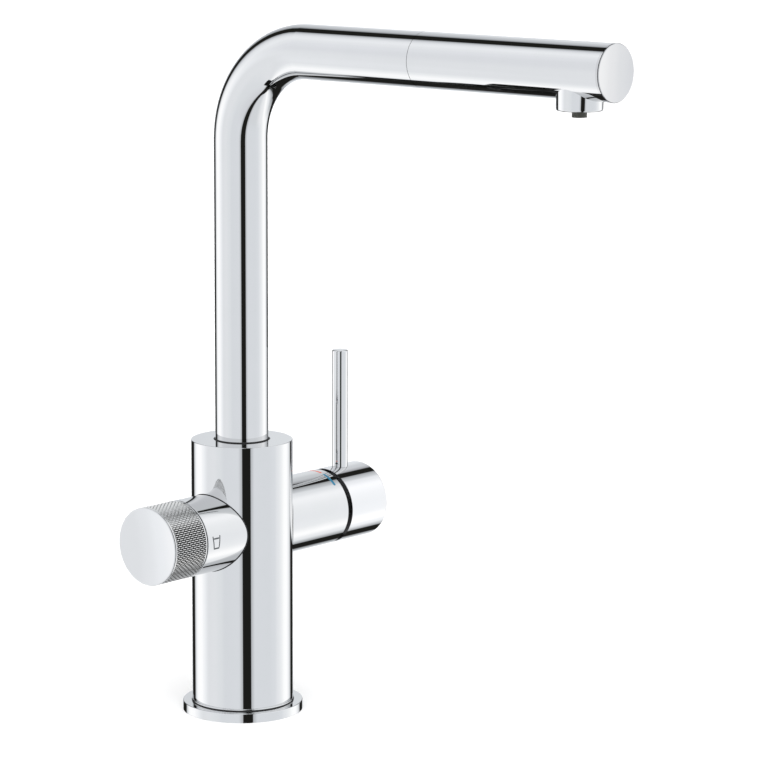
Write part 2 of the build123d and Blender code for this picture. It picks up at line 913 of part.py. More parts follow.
with BuildPart() as shroud_ring:
    inner_sphere_radius = shroud_sphere_radius - shroud_thickness
    skirt_radius = side_radius - side_sleeve_wall - seat_gap
    skirt_inner_radius = skirt_radius - shroud_thickness
    with BuildSketch(Plane.XZ) as dome_section:
        with BuildLine():
            Polyline(
                dome_point(inner_sphere_radius, skirt_inner_radius),
                (mixer_barrel_reach, side_axis_height + skirt_inner_radius),
                (mixer_barrel_reach, side_axis_height + skirt_radius),
                (sleeve_reach, side_axis_height + skirt_radius),
                (sleeve_reach, side_axis_height + shroud_lip_radius),
                dome_point(shroud_sphere_radius, shroud_lip_radius),
            )
            RadiusArc(
                dome_point(shroud_sphere_radius, shroud_lip_radius),
                dome_point(shroud_sphere_radius, shroud_mouth_radius),
                shroud_sphere_radius,
            )
            Line(
                dome_point(shroud_sphere_radius, shroud_mouth_radius),
                dome_point(inner_sphere_radius, shroud_mouth_radius),
            )
            RadiusArc(
                dome_point(inner_sphere_radius, shroud_mouth_radius),
                dome_point(inner_sphere_radius, skirt_inner_radius),
                -inner_sphere_radius,
            )
        make_face()
    revolve(dome_section.sketch, axis=Axis((0, 0, side_axis_height), (1, 0, 0)))

# Cap: cup over the shroud, socket for the stem, pin hole above and screw hole below
with BuildPart() as mixer_cap:
    disc(right(cap_start_reach), side_radius, cap_reach - cap_start_reach)
    fillet(mixer_cap.edges().sort_by(Axis.X)[-1], cap_edge_round)
    bore(right(cap_start_reach), cap_cavity_radius, cap_cavity_depth)
    bore(right(cap_start_reach), stem_radius + seat_gap, stem_end_reach + seat_gap - cap_start_reach)
    pin_hole_height = side_axis_height + side_radius - pin_spigot_length - seat_gap
    bore(Plane((pin_reach, 0, pin_hole_height)), pin_spigot_radius + seat_gap, side_radius)
    bore(
        Plane((pin_reach, 0, side_axis_height), z_dir=(0, 0, -1)),
        set_screw_radius + seat_gap,
        side_radius,
    )

with BuildPart() as lever_pin:
    disc(Plane((pin_reach, 0, side_axis_height)), pin_radius, pin_top_height - side_axis_height)
    fillet(lever_pin.edges().sort_by(Axis.Z)[-1], pin_top_round)
    bore(right(0), side_radius + seat_gap, cap_reach)
    disc(
        Plane((pin_reach, 0, side_axis_height + side_radius - pin_spigot_length)),
        pin_spigot_radius,
        2 * pin_spigot_length,
    )

with BuildPart() as cap_set_screw:
    screw_top_height = side_axis_height - stem_radius - seat_gap
    screw_end_height = screw_top_height - set_screw_length
    disc(Plane((pin_reach, 0, screw_end_height)), set_screw_radius, set_screw_length)
    hexagon(
        Plane((pin_reach, 0, screw_end_height)),
        set_screw_hex_width,
        set_screw_hex_depth,
        Mode.SUBTRACT,
    )

# Spout: bent tube on a brass foot that swivels in the core's socket
with BuildPart() as spout_tube:
    hose_run(foot_step_height, tube_end_reach, tube_radius, tube_bore_radius)

with BuildPart() as spout_foot:
    disc(up(foot_bottom_height), foot_radius, foot_barrel_length)
    disc(up(foot_step_height), tube_bore_radius - seat_gap, foot_spigot_length)
    bore(up(foot_bottom_height), hose_channel_radius, foot_barrel_length + foot_spigot_length)
    for seal_start in foot_seal_starts:
        ring(
            up(foot_bottom_height + seal_start),
            foot_radius,
            foot_radius - foot_seal_depth,
            foot_seal_width,
            Mode.SUBTRACT,
        )
    ring(
        up(clip_bottom_height - seat_gap),
        foot_radius,
        foot_radius - clip_depth,
        clip_thickness + 2 * seat_gap,
        Mode.SUBTRACT,
    )

with BuildPart() as spout_seals:
    for seal_start in foot_seal_starts:
        ring(
            up(foot_bottom_height + seal_start + seat_gap),
            foot_radius,
            foot_radius - foot_seal_depth + seat_gap,
            foot_seal_width - 2 * seat_gap,
        )

with BuildPart() as spout_clip:
    ring(
        up(clip_bottom_height),
        clip_radius,
        foot_radius - clip_depth + seat_gap,
        clip_thickness,
    )
    with BuildSketch(Plane((0, 0, clip_bottom_height), x_dir=(0, 1, 0))) as clip_gap:
        with Locations((clip_radius / 2, 0)):
            Rectangle(clip_radius + clear_gap, clip_mouth)
    extrude(clip_gap.sketch, amount=clip_thickness, mode=Mode.SUBTRACT)

with BuildPart() as dock_bush:
    ring(
        front(tube_end_reach - dock_bush_inset - dock_bush_length),
        tube_bore_radius - seat_gap,
        tube_bore_radius - seat_gap - dock_bush_wall,
        dock_bush_length,
    )

# Hose: runs inside the tap from its lower end to the head, with the filtered-water line in it
with BuildPart() as pull_out_hose:
    hose_run(hose_end_height, hose_end_reach - seat_gap, hose_radius, hose_bore_radius)

with BuildPart() as filtered_line:
    hose_run(line_end_height, line_end_reach, line_radius, line_radius - line_wall)

with BuildPart() as hose_end_ferrule:
    ring(up(hose_end_height), ferrule_radius, hose_radius + seat_gap, ferrule_length)

with BuildPart() as hose_end_nipple:
    flange_bottom_height = hose_end_height - nipple_flange_height
    disc(up(hose_end_height), barb_radius, barb_length)
    disc(up(flange_bottom_height), nipple_flange_radius, nipple_flange_height)
    disc(up(nipple_end_height), nipple_stem_radius, flange_bottom_height - nipple_end_height)
    bore(up(nipple_end_height), nipple_bore_radius, hose_end_height + barb_length)
    ring(
        up(nipple_end_height + nipple_seal_start),
        nipple_stem_radius,
        nipple_stem_radius - nipple_seal_depth,
        nipple_seal_width,
        Mode.SUBTRACT,
    )

# Head: tube with an outlet boss below it and a flat end cap
with BuildPart() as head_shell:
    shell_length = spout_reach - end_cap_thickness - head_start_reach
    disc(
        at_outlet(boss_bottom_height),
        boss_radius,
        spout_axis_height - boss_bottom_height,
    )
    fillet(head_shell.edges().sort_by(Axis.Z)[0], boss_edge_round)
    disc(front(head_start_reach), tube_radius, shell_length)
    bore(front(head_start_reach), tube_bore_radius, shell_length)
    bore(
        at_outlet(boss_bottom_height),
        boss_radius - boss_wall,
        spout_axis_height - boss_bottom_height,
    )

with BuildPart() as head_end_cap:
    disc(front(spout_reach - end_cap_thickness), tube_radius, end_cap_thickness)
    fillet(head_end_cap.edges().sort_by(Axis.Y)[0], end_cap_round)
    disc(front(core_front_reach), tube_bore_radius - seat_gap, end_cap_plug_length)

with BuildPart() as head_spigot:
    disc(
        front(spigot_flange_reach),
        tube_bore_radius - seat_gap,
        head_core_reach - spigot_flange_reach,
    )
    disc(
        front(spigot_tip_reach),
        tube_bore_radius - seat_gap - dock_bush_wall - clear_gap,
        spigot_flange_reach - spigot_tip_reach,
    )
    chamfer(head_spigot.edges().sort_by(Axis.Y)[-1], spigot_tip_chamfer)
    bore(front(spigot_tip_reach), head_bore_radius, head_core_reach - spigot_tip_reach)

with BuildPart() as hose_head_fitting:
    ring(
        front(hose_end_reach - ferrule_length),
        ferrule_radius,
        hose_radius + seat_gap,
        ferrule_length,
    )
    disc(front(hose_end_reach), ferrule_radius, fitting_flange_thickness)
    disc(front(hose_end_reach - barb_length), barb_radius, barb_length)
    disc(front(fitting_flange_reach), fitting_neck_radius, fitting_neck_length)
    disc(
        front(fitting_reach - fitting_collar_thickness),
        fitting_collar_radius,
        fitting_collar_thickness,
    )
    bore(
        front(hose_end_reach - barb_length),
        nipple_bore_radius,
        fitting_reach - hose_end_reach + barb_length,
    )

with BuildPart() as hose_nut:
    nut_shoulder = fitting_reach - fitting_collar_thickness - seat_gap
    hexagon(front(nut_start), nut_hex_width, nut_length)
    bore(front(nut_start), fitting_neck_radius + seat_gap, nut_length)
    bore(front(nut_shoulder), head_nipple_radius + seat_gap, nut_reach - nut_shoulder)

with BuildPart() as head_core:
    disc(front(fitting_reach), head_nipple_radius, head_core_reach - fitting_reach)
    disc(front(head_core_reach), head_core_radius, core_front_reach - head_core_reach)
    bore(front(fitting_reach), inlet_radius, inlet_end_reach - fitting_reach)
    bore(front(fitting_reach), line_radius + seat_gap, line_end_reach + seat_gap - fitting_reach)
    bore(front(line_end_reach), filtered_bore_radius, outlet_reach - line_end_reach)
    bore(
        front(inlet_end_reach - mixed_bore_lap),
        mixed_bore_radius,
        outlet_reach - inlet_end_reach + mixed_bore_lap,
        [(0, -mixed_bore_drop)],
    )
    bore(
        at_outlet(core_underside_height),
        chamber_radius,
        head_core_radius - chamber_drop,
    )
    bore(
        at_outlet(spout_axis_height - chamber_drop),
        filter_stem_radius + seat_gap,
        chamber_drop - filter_stem_rise + seat_gap,
    )
    bore(at_outlet(spout_axis_height - chamber_drop), filtered_bore_radius, chamber_drop)

with BuildPart() as filter_stem:
    ring(
        at_outlet(filter_stem_bottom_height),
        filter_stem_radius,
        filter_stem_bore_radius,
        spout_axis_height - filter_stem_rise - filter_stem_bottom_height,
    )

with BuildPart() as aerator_housing:
    housing_bottom_height = boss_bottom_height + aerator_inset
    housing_step_height = core_underside_height - seat_gap
    housing_step_rise = housing_step_height - housing_bottom_height
    disc(
        at_outlet(housing_bottom_height),
        boss_radius - boss_wall - seat_gap,
        housing_step_rise,
    )
    disc(at_outlet(housing_step_height), chamber_radius - seat_gap, aerator_spigot_length)
    bore(
        at_outlet(housing_bottom_height),
        aerator_bore_radius,
        housing_step_rise + aerator_spigot_length,
    )

with BuildPart() as aerator_insert:
    disc(at_outlet(insert_bottom_height), aerator_bore_radius - seat_gap, insert_thickness)
    bore(at_outlet(insert_bottom_height), nozzle_radius + seat_gap, insert_thickness)
    for ring_inset, hole_count in zip(insert_hole_insets, insert_hole_counts):
        hole_angles = [360 / hole_count * index for index in range(hole_count)]
        bore(
            at_outlet(insert_bottom_height),
            insert_hole_radius,
            insert_thickness,
            [station(angle, aerator_bore_radius - ring_inset) for angle in hole_angles],
        )

with BuildPart() as filter_nozzle:
    disc(at_outlet(nozzle_bottom_height), nozzle_radius, nozzle_length)
    fillet(filter_nozzle.edges().sort_by(Axis.Z)[0], nozzle_edge_round)
    bore(
        at_outlet(nozzle_bottom_height),
        nozzle_orifice_radius,
        filter_stem_bottom_height - nozzle_bottom_height,
    )
    bore(
        at_outlet(filter_stem_bottom_height),
        filter_stem_radius + seat_gap,
        filter_stem_grip,
    )
    for index in range(nozzle_groove_count):
        ring(
            at_outlet(nozzle_bottom_height + (index + 1) * nozzle_groove_pitch),
            nozzle_radius,
            nozzle_radius - nozzle_groove_depth,
            nozzle_groove_width,
            Mode.SUBTRACT,
        )

pieces = {
    "base_flange": base_flange,
    "base_gasket": base_gasket,
    "base_manifold": base_manifold,
    "manifold_screws": manifold_screws,
    "port_seals": port_seals,
    "body_shell": body_shell,
    "valve_core": valve_core,
    "housing_seals": housing_seals,
    "thrust_washer": thrust_washer,
    "swivel_bush": swivel_bush,
    "spout_seal_ring": spout_seal_ring,
    "filter_housing": filter_housing,
    "filter_collar": filter_collar,
    "filter_symbol": filter_symbol,
    "headpart_seal": headpart_seal,
    "headpart_body": headpart_body,
    "fixed_filter_disc": fixed_filter_disc,
    "knob_slide_ring": knob_slide_ring,
    "turning_filter_disc": turning_filter_disc,
    "headpart_spindle": headpart_spindle,
    "filter_knob": filter_knob,
    "knob_insert": knob_insert,
    "mixer_housing": mixer_housing,
    "mixer_sleeve": mixer_sleeve,
    "hot_mark": hot_mark,
    "cold_mark": cold_mark,
    "cartridge_base": cartridge_base,
    "cartridge_seals": cartridge_seals,
    "cartridge_body": cartridge_body,
    "fixed_mixing_disc": fixed_mixing_disc,
    "cartridge_nut": cartridge_nut,
    "shroud_ring": shroud_ring,
    "cartridge_driver": cartridge_driver,
    "pivot_pin": pivot_pin,
    "sliding_mixing_disc": sliding_mixing_disc,
    "disc_carrier": disc_carrier,
    "cartridge_stem": cartridge_stem,
    "mixer_cap": mixer_cap,
    "lever_pin": lever_pin,
    "cap_set_screw": cap_set_screw,
    "spout_tube": spout_tube,
    "spout_foot": spout_foot,
    "spout_seals": spout_seals,
    "spout_clip": spout_clip,
    "dock_bush": dock_bush,
    "pull_out_hose": pull_out_hose,
    "filtered_line": filtered_line,
    "hose_end_ferrule": hose_end_ferrule,
    "hose_end_nipple": hose_end_nipple,
    "head_shell": head_shell,
    "head_end_cap": head_end_cap,
    "head_spigot": head_spigot,
    "hose_head_fitting": hose_head_fitting,
    "hose_nut": hose_nut,
    "head_core": head_core,
    "filter_stem": filter_stem,
    "aerator_housing": aerator_housing,
    "aerator_insert": aerator_insert,
    "filter_nozzle": filter_nozzle,
}
for name, piece in pieces.items():
    piece.part.label = name
    export_step(piece.part, f"parts/{name}.step")
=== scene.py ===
import json
import math

import bmesh
import bpy
from mathutils import Matrix, Vector

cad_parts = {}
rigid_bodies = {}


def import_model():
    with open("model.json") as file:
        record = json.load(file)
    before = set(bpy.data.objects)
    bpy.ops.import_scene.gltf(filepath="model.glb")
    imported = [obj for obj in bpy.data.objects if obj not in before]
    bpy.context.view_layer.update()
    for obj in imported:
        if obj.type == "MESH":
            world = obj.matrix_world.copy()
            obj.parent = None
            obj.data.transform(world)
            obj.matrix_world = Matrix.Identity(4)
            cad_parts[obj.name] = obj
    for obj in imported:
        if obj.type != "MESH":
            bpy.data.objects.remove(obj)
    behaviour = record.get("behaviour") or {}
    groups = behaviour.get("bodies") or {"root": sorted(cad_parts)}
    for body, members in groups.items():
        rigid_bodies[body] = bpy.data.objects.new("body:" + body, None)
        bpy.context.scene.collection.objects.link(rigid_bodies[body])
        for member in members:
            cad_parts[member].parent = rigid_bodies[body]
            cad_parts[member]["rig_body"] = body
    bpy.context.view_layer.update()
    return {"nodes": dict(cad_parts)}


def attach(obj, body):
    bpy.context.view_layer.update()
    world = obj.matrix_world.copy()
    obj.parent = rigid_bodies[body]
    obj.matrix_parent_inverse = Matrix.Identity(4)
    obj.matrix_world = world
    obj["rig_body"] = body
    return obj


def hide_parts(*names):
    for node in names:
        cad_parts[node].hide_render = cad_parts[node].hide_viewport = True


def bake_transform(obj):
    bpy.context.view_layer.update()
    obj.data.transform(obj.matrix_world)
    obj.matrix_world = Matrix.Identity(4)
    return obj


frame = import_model()
mm = 0.001
sideAxisHeight = 100.5  # mm, axis of the knob and the lever
spoutAxisHeight = 354.9  # mm, axis of the spout's level run
print("frame loaded,", len(frame["nodes"]), "CAD nodes")


def linearColour(hexText, alpha=1.0):
    channels = [int(hexText[i:i + 2], 16) / 255 for i in (1, 3, 5)]
    linear = [c / 12.92 if c <= 0.04045 else ((c + 0.055) / 1.055) ** 2.4 for c in channels]
    return (*linear, alpha)


# one node, its settings, its inputs (a value or another node's output) and, on a ramp, its stops
def addNode(tree, kind, inputs=None, stops=(), blend="LINEAR", **settings):
    made = tree.nodes.new("ShaderNode" + kind)
    for name, value in settings.items():
        setattr(made, name, value)
    for name, value in (inputs or {}).items():
        if isinstance(value, bpy.types.NodeSocket):
            tree.links.new(value, made.inputs[name])
        else:
            made.inputs[name].default_value = value
    if stops:
        ramp = made.color_ramp
        ramp.interpolation = blend
        ramp.elements.remove(ramp.elements[1])
        for i, (place, colour) in enumerate(stops):
            stop = ramp.elements.new(place) if i else ramp.elements[0]
            stop.position = place
            stop.color = colour
    return made


def emptyTree(owner):
    owner.use_nodes = True
    owner.node_tree.nodes.clear()
    return owner.node_tree


# Camera: a long lens, a little above the lever, to the left of the spout
view = {
    "azimuth": -49.011, "elevation": 9.923, "roll": 0.188,  # degrees
    "distance": 1747.36, "aimHeight": 180.0, "sideStep": 72.78, "rise": -0.27,  # mm
    "lens": 156.66, "sensor": 36.0,  # mm
    "clip": (0.1, 50),  # m
}


def placeCamera():
    azimuth, elevation, roll = (math.radians(view[k]) for k in ("azimuth", "elevation", "roll"))
    back = Vector((
        math.sin(azimuth) * math.cos(elevation),
        -math.cos(azimuth) * math.cos(elevation),
        math.sin(elevation),
    ))
    right = Vector((math.cos(azimuth), math.sin(azimuth), 0))
    up = back.cross(right)
    place = Vector((0, 0, view["aimHeight"])) + right * view["sideStep"] + up * view["rise"]
    place += back * view["distance"]
    turned = Matrix.Rotation(roll, 3, back)
    axes = Matrix((turned @ right, turned @ up, back)).transposed()
    camera = bpy.data.objects.new("camera", bpy.data.cameras.new("camera"))
    camera.data.lens = view["lens"]
    camera.data.sensor_width = view["sensor"]
    camera.data.clip_start, camera.data.clip_end = view["clip"]
    camera.matrix_world = Matrix.Translation(place * mm) @ axes.to_4x4()
    bpy.context.scene.collection.objects.link(camera)
    bpy.context.scene.camera = camera


placeCamera()
print("camera placed")

# Studio: pale walls, white sheets and black cards, as a polished tap sees them. Azimuth 0 is the
# camera's side, + its right; a grey is what the chrome shows of it. Only gloss sees the cards.
studio = {
    "turn": 139.011,  # degrees that bring the camera's side to azimuth 0
    "gain": 1.405,  # polished chrome gives back about 70% of the light
    "white": 1.25,  # light on all that is matt
    "heights": (-34, -18, -4, 16),  # low walls end, level ones begin and end, high ones begin
    "low": [
        (-180, "#a4a7ab"), (-150, "#a8abaf"), (-134, "#c3c6ca"), (-122, "#f7f8f9"),
        (-110, "#fbfbfc"), (-104, "#f4f5f6"), (-97, "#e9ebed"), (-91, "#e0e2e5"),
        (-85, "#dddfe2"), (-78, "#dfe1e4"), (-45, "#d8dbde"), (0, "#d0d2d6"), (60, "#d1d4d7"),
        (95, "#eaebed"), (110, "#fefefe"), (122, "#e8eaec"), (134, "#bfc2c5"), (150, "#c4c7ca"),
        (180, "#c4c7ca"),
    ],
    "level": [
        (-180, "#cccfd3"), (-166, "#bcbfc3"), (-154, "#bcbfc3"), (-130, "#e6e8ea"),
        (-121, "#fafafb"), (-115, "#fefefe"), (-105, "#fdfdfe"), (-97, "#f3f4f6"),
        (-91, "#ebedf0"), (-86, "#e3e5e8"), (-81, "#dee0e3"), (-65, "#dfe1e4"), (-50, "#dbdee1"),
        (-37, "#d5d8dc"), (0, "#d6d9dd"), (66, "#d5d8dc"), (80, "#d8dbdf"), (92, "#e3e5e8"),
        (99, "#e9ebed"), (105, "#f1f2f3"), (111, "#fafbfb"), (117, "#fefefe"), (124, "#fdfdfe"),
        (130, "#f1f2f3"), (136, "#e2e4e6"), (143, "#dddfe2"), (168, "#b0b3b7"), (180, "#cccfd3"),
    ],
    "high": [
        (-180, "#d0d3d6"), (-172, "#bcbfc3"), (-160, "#a6a9ad"), (-128, "#c3c6ca"),
        (-118, "#dadce0"), (-112, "#e4e6e9"), (-104, "#e8eaed"), (-96, "#e3e5e8"),
        (-90, "#dee0e4"), (-83, "#d9dbdf"), (-60, "#d7d9dd"), (0, "#d8dbde"), (60, "#dcdfe2"),
        (94, "#e7e9eb"), (108, "#f2f3f5"), (122, "#dfe1e4"), (132, "#bbbec1"), (142, "#c0c3c6"),
        (162, "#bdbfc3"), (172, "#c0c3c6"), (180, "#d0d3d6"),
    ],
    "cardBlack": "#1c1c1a",
}

# black cards: upright ones are centred by azimuth at each elevation, lying ones by elevation at
# each azimuth; a point is (along, centre, half width, strength); halo is the grey round the card:
# how far it reaches in degrees and how dark it starts
cards = {
    "besideCamera": {"upright": True, "edge": 1.3, "halo": (9, 0.3), "points": [
        (-84, 70, 62, 1), (-80, 60, 46, 1), (-77, 34, 20, 1), (-74, 27, 13.5, 1),
        (-70, 23, 11.5, 1), (-65, 20.5, 10, 1), (-60, 18.5, 9.5, 1), (-54, 17, 9.3, 1),
        (-46, 15.5, 9.5, 1), (-38, 14.5, 9.5, 1), (-30, 13.5, 9.5, 1), (-20, 12.5, 9.8, 1),
        (0, 11.8, 10.2, 1), (20, 13, 10, 1), (35, 17, 10.5, 1), (46, 23, 11, 1), (58, 26, 12, 1),
        (72, 26, 12, 0),
    ]},
    "leftRear": {"upright": True, "edge": 2.5, "halo": (9, 0.35), "points": [
        (-28, -150, 12, 0), (-17, -150, 14, 1), (-11, -149.5, 13.5, 1), (-7, -148, 12.5, 1),
        (-3, -145, 12, 0.95), (5, -143, 11.5, 1), (12, -142.5, 11, 1), (20, -142.5, 11.5, 1),
        (30, -143.5, 12, 1), (40, -146, 13.5, 1), (46, -147.5, 14.5, 1), (56, -148, 14.5, 1),
        (68, -148, 15, 0),
    ]},
    "rightRear": {"upright": True, "edge": 2.5, "halo": (9, 0.35), "points": [
        (-50, 152, 12, 1), (-43, 151, 12, 1), (-36, 154, 11, 1), (-28, 155, 11, 1),
        (-12, 156, 12.5, 1), (-4, 156, 12, 1), (10, 154, 10, 1), (30, 151, 9, 1),
        (44, 149.5, 9, 1), (52, 149, 9, 1), (62, 149, 9, 0),
    ]},
    "rearFloor": {"upright": False, "edge": 2.5, "halo": (9, 0.35), "points": [
        (-180, -56, 22, 1), (-165, -58, 21, 1), (-150, -61, 20, 1), (-141, -62, 18, 1),
        (-133, -62, 16, 0), (136, -66, 8, 0), (144, -63, 15, 1), (150, -60, 20, 1),
        (180, -56, 22, 1),
    ]},
    "underTap": {"upright": False, "edge": 1.5, "halo": (4, 0.3), "points": [
        (-180, -90, 12, 1), (-136, -90, 10, 1), (-100, -90, 5, 1), (-10, -90, 5, 1),
        (20, -90, 9, 1), (60, -90, 9, 1), (110, -90, 9, 1), (150, -90, 12, 1), (180, -90, 12, 1),
    ]},
}


def buildStudio():
    world = bpy.data.worlds.new("studio")
    bpy.context.scene.world = world
    tree = emptyTree(world)
    seen = addNode(tree, "TexCoord").outputs["Generated"]
    turned = addNode(tree, "VectorRotate", {"Vector": seen, "Angle": math.radians(studio["turn"])},
                     rotation_type="Z_AXIS")
    axis = addNode(tree, "SeparateXYZ", {0: turned.outputs[0]}).outputs
    around = addNode(tree, "Math", {0: axis["Y"], 1: axis["X"]}, operation="ARCTAN2")
    azimuth = addNode(tree, "Math", {0: around.outputs[0]}, operation="DEGREES").outputs[0]
    rise = addNode(tree, "Math", {0: axis["Z"]}, operation="ARCSINE")
    elevation = addNode(tree, "Math", {0: rise.outputs[0]}, operation="DEGREES").outputs[0]
    share = {
        False: addNode(tree, "MapRange", {0: azimuth, 1: -180, 2: 180}).outputs[0],
        True: addNode(tree, "MapRange", {0: elevation, 1: -90, 2: 90}).outputs[0],
    }

    # three rings of wall, blended by height
    rings = []
    for name in ("low", "level", "high"):
        stops = [((a + 180) / 360, linearColour(grey)) for a, grey in studio[name]]
        ramp = addNode(tree, "ValToRGB", {0: share[False]}, blend="EASE", stops=stops)
        rings.append(ramp.outputs[0])
    wall = rings[0]
    for ring, start, end in zip(rings[1:], studio["heights"][::2], studio["heights"][1::2]):
        climb = addNode(tree, "MapRange", {0: elevation, 1: start, 2: end},
                        interpolation_type="SMOOTHSTEP").outputs[0]
        wall = addNode(tree, "Mix", {0: climb, 6: wall, 7: ring}, data_type="RGBA").outputs[2]

    # each card darkens what is behind it; a ramp holds up to 1, so half widths go in as hundredths
    inRamp = 100
    for card in cards.values():
        upright = card["upright"]
        span, wide = (180, 360) if upright else (360, 180)  # degrees along the card and across it
        stops = [
            ((along + span / 2) / span, ((centre + wide / 2) / wide, half / inRamp, 0, strength))
            for along, centre, half, strength in card["points"]
        ]
        ramp = addNode(tree, "ValToRGB", {0: share[upright]}, stops=stops)
        place = addNode(tree, "SeparateColor", {0: ramp.outputs[0]}).outputs
        centre = addNode(tree, "Math", {0: place[0], 1: wide, 2: -wide / 2},
                         operation="MULTIPLY_ADD").outputs[0]
        half = addNode(tree, "Math", {0: place[1], 1: inRamp}, operation="MULTIPLY").outputs[0]
        across = addNode(tree, "Math", {0: azimuth if upright else elevation, 1: centre},
                         operation="SUBTRACT").outputs[0]
        if upright:
            across = addNode(tree, "Math", {0: across, 1: 180, 2: -180},
                             operation="WRAP").outputs[0]
        off = addNode(tree, "Math", {0: across}, operation="ABSOLUTE").outputs[0]
        inner = addNode(tree, "Math", {0: half, 1: card["edge"]}, operation="SUBTRACT").outputs[0]
        outer = addNode(tree, "Math", {0: half, 1: card["edge"]}, operation="ADD").outputs[0]
        cover = addNode(tree, "MapRange", {0: off, 1: inner, 2: outer, 3: 1, 4: 0},
                        interpolation_type="SMOOTHSTEP").outputs[0]
        reach, depth = card["halo"]
        spill = addNode(tree, "Math", {0: half, 1: reach}, operation="ADD").outputs[0]
        halo = addNode(tree, "MapRange", {0: off, 1: half, 2: spill, 3: depth, 4: 0},
                       interpolation_type="SMOOTHSTEP").outputs[0]
        cover = addNode(tree, "Math", {0: cover, 1: halo}, operation="MAXIMUM").outputs[0]
        dark = addNode(tree, "Math", {0: cover, 1: ramp.outputs["Alpha"]},
                       operation="MULTIPLY").outputs[0]
        wall = addNode(tree, "Mix", {0: dark, 6: wall, 7: linearColour(studio["cardBlack"])},
                       data_type="RGBA").outputs[2]

    glossy = addNode(tree, "LightPath").outputs["Is Glossy Ray"]
    plain = addNode(tree, "Background", {"Color": (1, 1, 1, 1), "Strength": studio["white"]})
    inChrome = addNode(tree, "Background", {"Color": wall, "Strength": studio["gain"]})
    both = addNode(tree, "MixShader", {0: glossy, 1: plain.outputs[0], 2: inChrome.outputs[0]})
    addNode(tree, "OutputWorld", {"Surface": both.outputs[0]})


buildStudio()
bpy.context.scene.view_settings.view_transform = "Standard"
print("studio built,", len(cards), "cards")

# Floor and one large soft lamp, both kept out of the chrome
floorSize = 22.0  # m, so large that its edge is out of the picture
lamp = {"size": 1.6, "power": 5, "place": (-1.2, -1.4, 1.8), "aim": (0, -0.08, 0.18)}


def buildFloorAndLamp():
    half = floorSize / 2
    mesh = bpy.data.meshes.new("floor")
    mesh.from_pydata([(-half, -half, 0), (half, -half, 0), (half, half, 0), (-half, half, 0)], [],
                     [(0, 1, 2, 3)])
    floor = bpy.data.objects.new("floor", mesh)
    bpy.context.scene.collection.objects.link(floor)
    material = bpy.data.materials.new("matteWhiteBoard")
    tree = emptyTree(material)
    paint = addNode(tree, "BsdfDiffuse", {"Color": linearColour("#fdfdfd"), "Roughness": 1.0})
    addNode(tree, "OutputMaterial", {"Surface": paint.outputs[0]})
    mesh.materials.append(material)
    floor.visible_glossy = False

    light = bpy.data.lights.new("softLamp", "AREA")
    light.size = lamp["size"]
    light.energy = lamp["power"]
    holder = bpy.data.objects.new("softLamp", light)
    holder.location = lamp["place"]
    ahead = Vector(lamp["aim"]) - holder.location
    holder.rotation_euler = ahead.to_track_quat("-Z", "Y").to_euler()
    holder.visible_glossy = False
    bpy.context.scene.collection.objects.link(holder)


buildFloorAndLamp()
print("floor and lamp in place")

